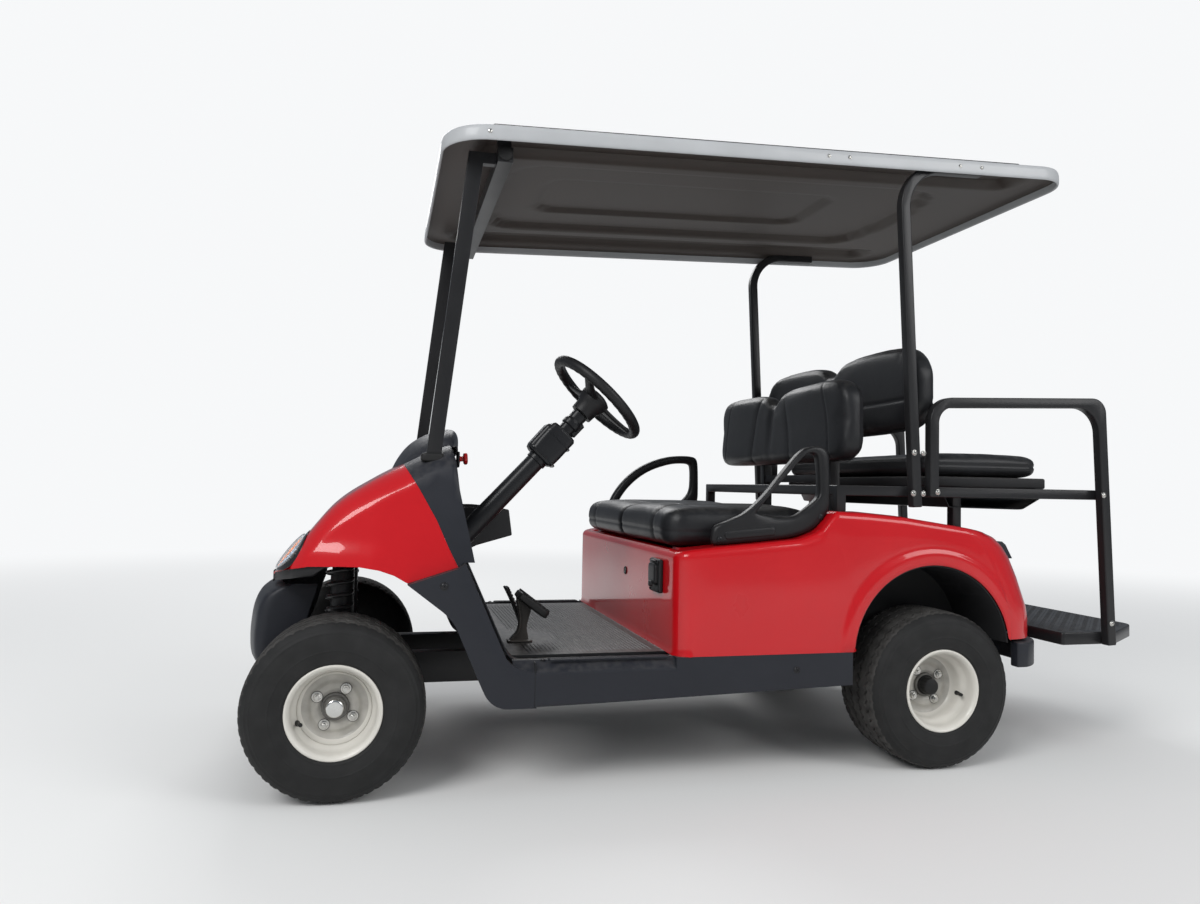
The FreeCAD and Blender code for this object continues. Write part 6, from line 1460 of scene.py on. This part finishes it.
def spoke(angle):
    """Tapering bar from hub to rim: a superellipse section that narrows, thins and rises outwards."""
    t, v = np.linspace(0, 1, 16)[:, None], full_turn(28)[None, :]
    out = math.cos(angle) * WHEEL_FORE + math.sin(angle) * WHEEL_SIDE
    over = -math.sin(angle) * WHEEL_FORE + math.cos(angle) * WHEEL_SIDE
    wide = 24.0 - 10.0 * np.sin(t * np.pi / 2) + 6.0 * ease_in(t, 0.85, 0.15) ** 2
    reach, rise, high = 26.0 + 118.0 * t, -12.0 + 9.0 * t**2, 7.5 - 2.0 * t
    span, lift = bent(np.cos(v), 0.7) * wide, bent(np.sin(v), 0.7) * high
    return pinched(WHEEL_MIDDLE + (reach + 0 * v)[..., None] * out + span[..., None] * over
                   + (rise + lift)[..., None] * WHEEL_UP)


wheel_foam = finish_coat("wheel_foam", (0.012, 0.012, 0.013), 0.46, grain=0.35, grain_size=700)
wheel_parts = [grip_ring(RIM_RADIUS, RIM_THICK), turned_form(HUB, WHEEL_MIDDLE, WHEEL_UP, 64),
               pillow(WHEEL_MIDDLE + 4 * WHEEL_UP, (WHEEL_FORE, WHEEL_SIDE, WHEEL_UP), (30, 36, 6), 2.6)]
wheel_parts += [spoke(math.radians(angle)) for angle in (180, 60, -60)]
grip = surface("steering_wheel_foam", *gathered(wheel_parts), wheel_foam, "steering_wheel", angle=50)
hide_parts("steering_wheel")

# Pedals: the brake is a broad curved arm of pressed steel with a ribbed rubber pad; the other is a
# slim bent blade. Both stand on the toe board.
# Columns of the side lines: X, height.
ARM_FRONT = np.array([(666, 345), (656, 356), (640, 376), (636, 402), (638, 430), (642, 456), (644, 474)],
                     dtype=float)
ARM_BACK = np.array([(604, 345), (608, 360), (612, 384), (606, 412), (600, 436), (602, 454), (616, 470)],
                    dtype=float)
GO_FRONT = np.array([(604, 345), (610, 362), (621, 392), (634, 424), (647, 452), (658, 474), (665, 486)],
                    dtype=float)
PAD_AXIS, PAD_FACE = np.array([0.80, 0.0, 0.60]), np.array([-0.60, 0.0, 0.80])
PAD_MIDDLE = np.array([599.0, 300.0, 450.0])


def along_line(line, t):
    """Points at shares of a smooth curve through a side line."""
    run = np.linspace(0, 1, len(line))
    return np.stack([smooth_through(t, run, line[:, k]) for k in (0, 1)], axis=-1)


def blade(front, back, y_low, y_high, rows=40, around=28):
    """Web between two side lines, each a smooth curve through its points, over the piece's width."""
    t, across = np.linspace(0, 1, rows), full_turn(around)
    near, far = along_line(front, t), along_line(back, t)
    span, depth = bent(np.cos(across), 0.35), bent(np.sin(across), 0.35)
    share = np.sqrt(np.clip(1 - np.abs(2 * t - 1) ** 24, 0, 1))[:, None]
    middle, half = ((near + far) / 2)[:, None, :], ((near - far) / 2)[:, None, :]
    place = middle + half * (depth[None, :] * share)[..., None]
    y = (y_low + y_high) / 2 + (y_high - y_low) / 2 * span[None, :] * share
    points = np.stack([place[..., 0], y, place[..., 1]], axis=-1)
    return points, grid_faces(rows, around, close_columns=True)


pedal_arm = finish_coat("pedal_arm", (0.055, 0.05, 0.045), 0.48, metal=0.2, grain=0.3, dust=0.25, mottle=0.3)
arms = [blade(ARM_FRONT, ARM_BACK, 296.0, 304.0), blade(ARM_FRONT, ARM_FRONT - [7.0, 0.0], 286.0, 314.0),
        pillow((632, 300, 347.4), SQUARE, (36, 22, 3.2), 5.0)]
surface("brake_arm", *gathered(arms), pedal_arm, angle=40)
pad_axes = (PAD_AXIS, WHEEL_SIDE, PAD_FACE)
pads = [pillow(PAD_MIDDLE, pad_axes, (52, 50, 12.0), 6.0)]
for row in np.linspace(-40, 40, 6):
    for column_y in np.linspace(-38, 38, 5):
        stud = PAD_MIDDLE + row * PAD_AXIS + column_y * WHEEL_SIDE + 12.5 * PAD_FACE
        pads.append(pillow(stud, pad_axes, (6.2, 7.4, 3.4), 6.0, (8, 16)))
brake_pad = surface("brake_pad", *gathered(pads), rubber_trim, angle=40)
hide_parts("pedals")
go_blade = blade(GO_FRONT, GO_FRONT + [-8.0, 3.0], 152.0, 214.0)
go_ribs = [pillow((x - 9.5, 183, z + 3.0), SQUARE, (2.6, 27, 3.0), 4.0, (10, 16))
           for x, z in along_line(GO_FRONT, np.linspace(0.3, 0.92, 10))]
surface("go_pedal", *gathered([go_blade] + go_ribs), rubber_trim, angle=40)

# Rear seat kit: square steel tube, welded and powder coated satin black. Side rails run back from the
# struts; bent grab rails come down to the footplate; a folded pan sits under the flip-over seat.
kit_paint = finish_coat("kit_powder_coat", (0.015, 0.015, 0.016), 0.34, grain=0.12, grain_size=1200,
                        mottle=0.1, dust=0.12)
eased("rear_seat_frame", 3.0, kit_paint)
eased("grab_rails", 4.0, kit_paint, steps=3)
eased("rear_roof_struts", 4.0, kit_paint, steps=3)
KIT_BOLTS = [(-500, 555, 787), (-468, 555, 787), (-500, 555, 905), (-470, 555, 905), (-548, 555, 792),
             (-1130, 555, 792), (-1158, 555, 400)]
kit_bolts = [screw_head((x, s * (y - 0.6), z), (0, s, 0), 6.6, 4.2) for s in SIDES for x, y, z in KIT_BOLTS]
surface("kit_bolts", *gathered(kit_bolts), zinc, angle=40)
# Columns: X, height.
PAN_LINE = np.array([(-629, 779), (-646, 746), (-905, 742), (-975, 779)], dtype=float)
PAN_HALF, HINGE_Y, HINGE_HALF = 470, 380, 30


def folded_pan(rows=61, columns=12):
    """Trapezoid side line carried across the cart: a shallow pan of bent sheet."""
    t = np.linspace(0, 3, rows)
    x, z = (softened(np.interp(t, np.arange(4), PAN_LINE[:, k]), 3)[:, None] for k in (0, 1))
    y = np.linspace(-PAN_HALF, PAN_HALF, columns)[None, :]
    return np.stack([x + 0 * y, y + 0 * x, z + 0 * y], axis=-1)


surface("seat_pan", *walled(folded_pan(), 2.5, (-790.0, 0.0, 900.0)), kit_paint, angle=40)
hinges = [slab((-1002, s * HINGE_Y - HINGE_HALF, 806), (-976, s * HINGE_Y + HINGE_HALF, 809.6))
          for s in SIDES]
barrels = [turned_form([(-HINGE_HALF, 6), (HINGE_HALF, 6)], (-992, s * HINGE_Y, 809), (0, 1, 0), 20)
           for s in SIDES]
surface("seat_hinges", *gathered(hinges + barrels), zinc, angle=40)

# Footplate: folded steel with raised diamond tread on top, powder coated black. It stands on the foot
# of the grab rails.
MARK_PITCH, MARK_HALF, MARK_WIDE, MARK_HIGH, PLATE_TOP, MARK_STEPS = 21.0, 8.5, 2.6, 1.3, 369.8, 7
eased("footplate", 3.0, kit_paint)


def tread_marks():
    """Low lens-shaped ribs on a lattice, each turned a quarter from its neighbours, within the outline."""
    rows, columns = np.meshgrid(np.arange(-1365, -1012, MARK_PITCH), np.arange(-500, 501, MARK_PITCH),
                                indexing="ij")
    limit = np.where(rows < -1150, 524 - (np.clip(-1150 - rows, 0, 235) / 235.0) * 120.0, 520.0)
    keep = np.abs(columns) < limit - 16
    cx, cy = (places[keep][:, None, None] for places in (rows, columns))
    even = (np.round((cx + 1365) / MARK_PITCH) + np.round((cy + 500) / MARK_PITCH)) % 2 == 0
    lean = np.where(even, 1.0, -1.0)
    t = np.linspace(-1, 1, MARK_STEPS)
    along = MARK_HALF * t
    share = 1 - t**2
    cross = MARK_WIDE * np.stack([-share, 0 * share, share])
    lift = MARK_HIGH * np.stack([0 * share, share**0.5, 0 * share])
    turned = math.sqrt(0.5)
    px = cx + turned * (along - cross)
    py = cy + turned * lean * (along + cross)
    points = np.stack([px, py, PLATE_TOP + lift + 0 * px], axis=-1)
    # A mark of the other lean is a mirror image, so its faces are turned over.
    one = grid_faces(3, MARK_STEPS)
    faces = (np.arange(len(cx))[:, None, None] * 3 * MARK_STEPS + one[None]).reshape(-1, 4)
    mirrored = np.repeat(lean.ravel() < 0, len(one))
    faces[mirrored] = faces[mirrored][:, ::-1]
    return points.reshape(-1, 3), faces


marks, mark_faces = tread_marks()
first = marks[mark_faces[0]]
if np.cross(first[1] - first[0], first[2] - first[0])[2] < 0:
    mark_faces = mark_faces[:, ::-1]
surface("footplate_tread", marks, mark_faces, kit_paint, angle=60, closed=False)

# Roof: a pale grey edge band round a black moulded skin. The skin is thin plastic with long raised
# panels on top, which show below as stepped hollows with soft edges.
ROOF_X, ROOF_HALF, ROOF_CORNER, ROOF_LOW, ROOF_RISE = (-1018.0, 897.0), 572.0, 120.0, 1673.0, 80.0
SKIN_INSET, SKIN_DOME, STEP_HIGH, SKIN_WALL = 9.0, 6.0, 22.0, 3.0
# Columns of the band's section: out from the plan line, up from the lower edge.
BAND = np.array([(-7, 2), (-5.5, -0.5), (-3, -1.5), (-1, 0), (0, 3), (0.6, 10), (0.2, 26), (-1.5, 34),
                 (-5, 39.5), (-10, 42), (-15, 42.5), (-18, 41), (-18, 37), (-12, 35), (-8, 28), (-7.2, 12)],
                dtype=float)


def roof_height(x):
    """Height of the band's lower edge, which rises evenly towards the rear."""
    return ROOF_LOW + ROOF_RISE * (ROOF_X[1] - x) / (ROOF_X[1] - ROOF_X[0])


def roof_plan(count=60):
    """Rounded rectangle in plan as points and outward directions, corner by corner."""
    low_x, high_x, half = ROOF_X[0] + ROOF_CORNER, ROOF_X[1] - ROOF_CORNER, ROOF_HALF - ROOF_CORNER
    turn = np.linspace(0, np.pi / 2, 20)
    parts = []
    for k, (cx, cy) in enumerate(((high_x, half), (low_x, half), (low_x, -half), (high_x, -half))):
        cos, sin = np.cos(turn + k * np.pi / 2), np.sin(turn + k * np.pi / 2)
        parts.append(np.stack([cx + ROOF_CORNER * cos, cy + ROOF_CORNER * sin, cos, sin], axis=-1))
    share = np.linspace(0, 1, count + 2)[1:-1, None]
    ring = []
    for part, following in zip(parts, parts[1:] + parts[:1]):
        ring += [part, part[-1] * (1 - share) + following[0] * share]
    return np.concatenate(ring)


roof_pale = finish_coat("roof_pale", (0.40, 0.41, 0.42), 0.38, coat=0.15, mottle=0.06, grain=0.08)
plan = roof_plan()[:, None, :]
band_points = np.stack([plan[..., 0] + BAND[:, 0] * plan[..., 2], plan[..., 1] + BAND[:, 0] * plan[..., 3],
                        roof_height(plan[..., 0]) + BAND[:, 1]], axis=-1)
band_faces = grid_faces(len(plan), len(BAND), close_rows=True, close_columns=True)
band = surface("roof_edge_band", band_points, band_faces, roof_pale, angle=55)
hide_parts("roof_trim")
roof_black = finish_coat("roof_black", (0.014, 0.0145, 0.017), 0.62, grain=0.35, dust=0.15, specular=0.12)
# The lining's warm grey-brown is painted bounce light from the ground. It is the same black plastic as the
# top skin, shown lighter and warmer.
roof_under_bounce_light = finish_coat("roof_under_bounce_light", (0.052, 0.043, 0.038), 0.55, grain=0.4, grain_size=700, mottle=0.16,
                         drift_size=2.2)


def soft_step(value):
    """Share between nought and one that starts and ends level."""
    value = np.clip(value, 0, 1)
    return value * value * (3 - 2 * value)


def plateau(x, across, ends, half, corner, slope):
    """One raised panel between two ends: one on its top, nought outside, with round plan corners."""
    dx = np.maximum(np.maximum(ends[0] + corner - x, x - ends[1] + corner), 0)
    dy = np.maximum(np.abs(across) - half + corner, 0)
    return soft_step((corner - np.hypot(dx, dy)) / slope)


def panel_steps(x, y):
    """Height share of the moulded steps.

    Two long side pontoons lie near the edges; the middle is raised in two steps with bowed ends.
    """
    bow = 60.0 * np.cos(np.clip(y / 330.0, -1, 1) * np.pi / 2)
    side = plateau(x, np.abs(y) - 448.0, (-900.0, 800.0), 72.0, 50.0, 15.0)
    middle = plateau(x, y, (-700.0 - bow, 660.0 + bow), 322.0, 80.0, 17.0)
    inner = plateau(x, y, (-430.0, 520.0 + 0.6 * bow), 168.0, 70.0, 16.0)
    return 1.15 * side + 0.9 * middle + 0.6 * inner


def roof_skin(base, rows, columns):
    """Sheet over the plan: a low dome plus the steps; its outline is the rounded rectangle squeezed in X."""
    u, v = np.linspace(-1, 1, rows)[:, None], np.linspace(-1, 1, columns)[None, :]
    half_x, mid_x = (ROOF_X[1] - ROOF_X[0]) / 2 - SKIN_INSET, (ROOF_X[1] + ROOF_X[0]) / 2
    half_y, corner = ROOF_HALF - SKIN_INSET, ROOF_CORNER - SKIN_INSET
    y = half_y * v + 0 * u
    over = np.clip(np.abs(y) - (half_y - corner), 0, corner)
    reach = half_x - corner + np.sqrt(np.clip(corner**2 - over**2, 0, None))
    x = mid_x + reach * u
    rim = soft_step(np.minimum(reach - np.abs(x - mid_x), half_y - np.abs(y)) / 22.0)
    z = roof_height(x) + base + rim * (SKIN_DOME + STEP_HIGH * panel_steps(x, y))
    return np.stack([x, y, z], axis=-1)


under_roof = (-60.0, 0.0, 1000.0)
top_walls = walled(roof_skin(38.0, 130, 110), SKIN_WALL, under_roof)
top = surface("roof_top_skin", *top_walls, roof_black, angle=60)
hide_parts("roof_panel")
# The lining below carries the painted bounce light colour of the black underside.
surface("roof_lining", *walled(roof_skin(24.0, 100, 92), SKIN_WALL, under_roof), roof_under_bounce_light, angle=60)

# Front roof frame: two oval-edged steel struts from the dash to a cross bar, with end knobs and a
# short black link, and screws through the band.
eased("front_roof_frame", 4.0, kit_paint, steps=3)
KNOB = [(-16, 14), (-14, 19), (0, 20), (4, 19), (8, 13)]
knobs = [turned_form(KNOB, (732, s * 520, 1664), (0, s, 0), 32) for s in SIDES]
surface("roof_bar_knobs", *gathered(knobs), rubber_trim, angle=40)
# Columns: X, up from the band's lower edge.
BAND_SCREWS = [(-607, 20), (-680, 20), (-180, 21), (-245, 21), (780, 20)]
band_screws = [screw_head((x, s * (ROOF_HALF + 0.4), roof_height(x) + up), (0, s, 0), 4.6, 2.2)
               for s in SIDES for x, up in BAND_SCREWS]
surface("roof_band_screws", *gathered(band_screws), zinc, angle=40)
bar_plates = [slab((716, s * 450 - 20, 1668), (748, s * 450 + 20, 1676)) for s in SIDES]
surface("roof_bar_plates", *gathered(bar_plates), kit_paint, angle=30)
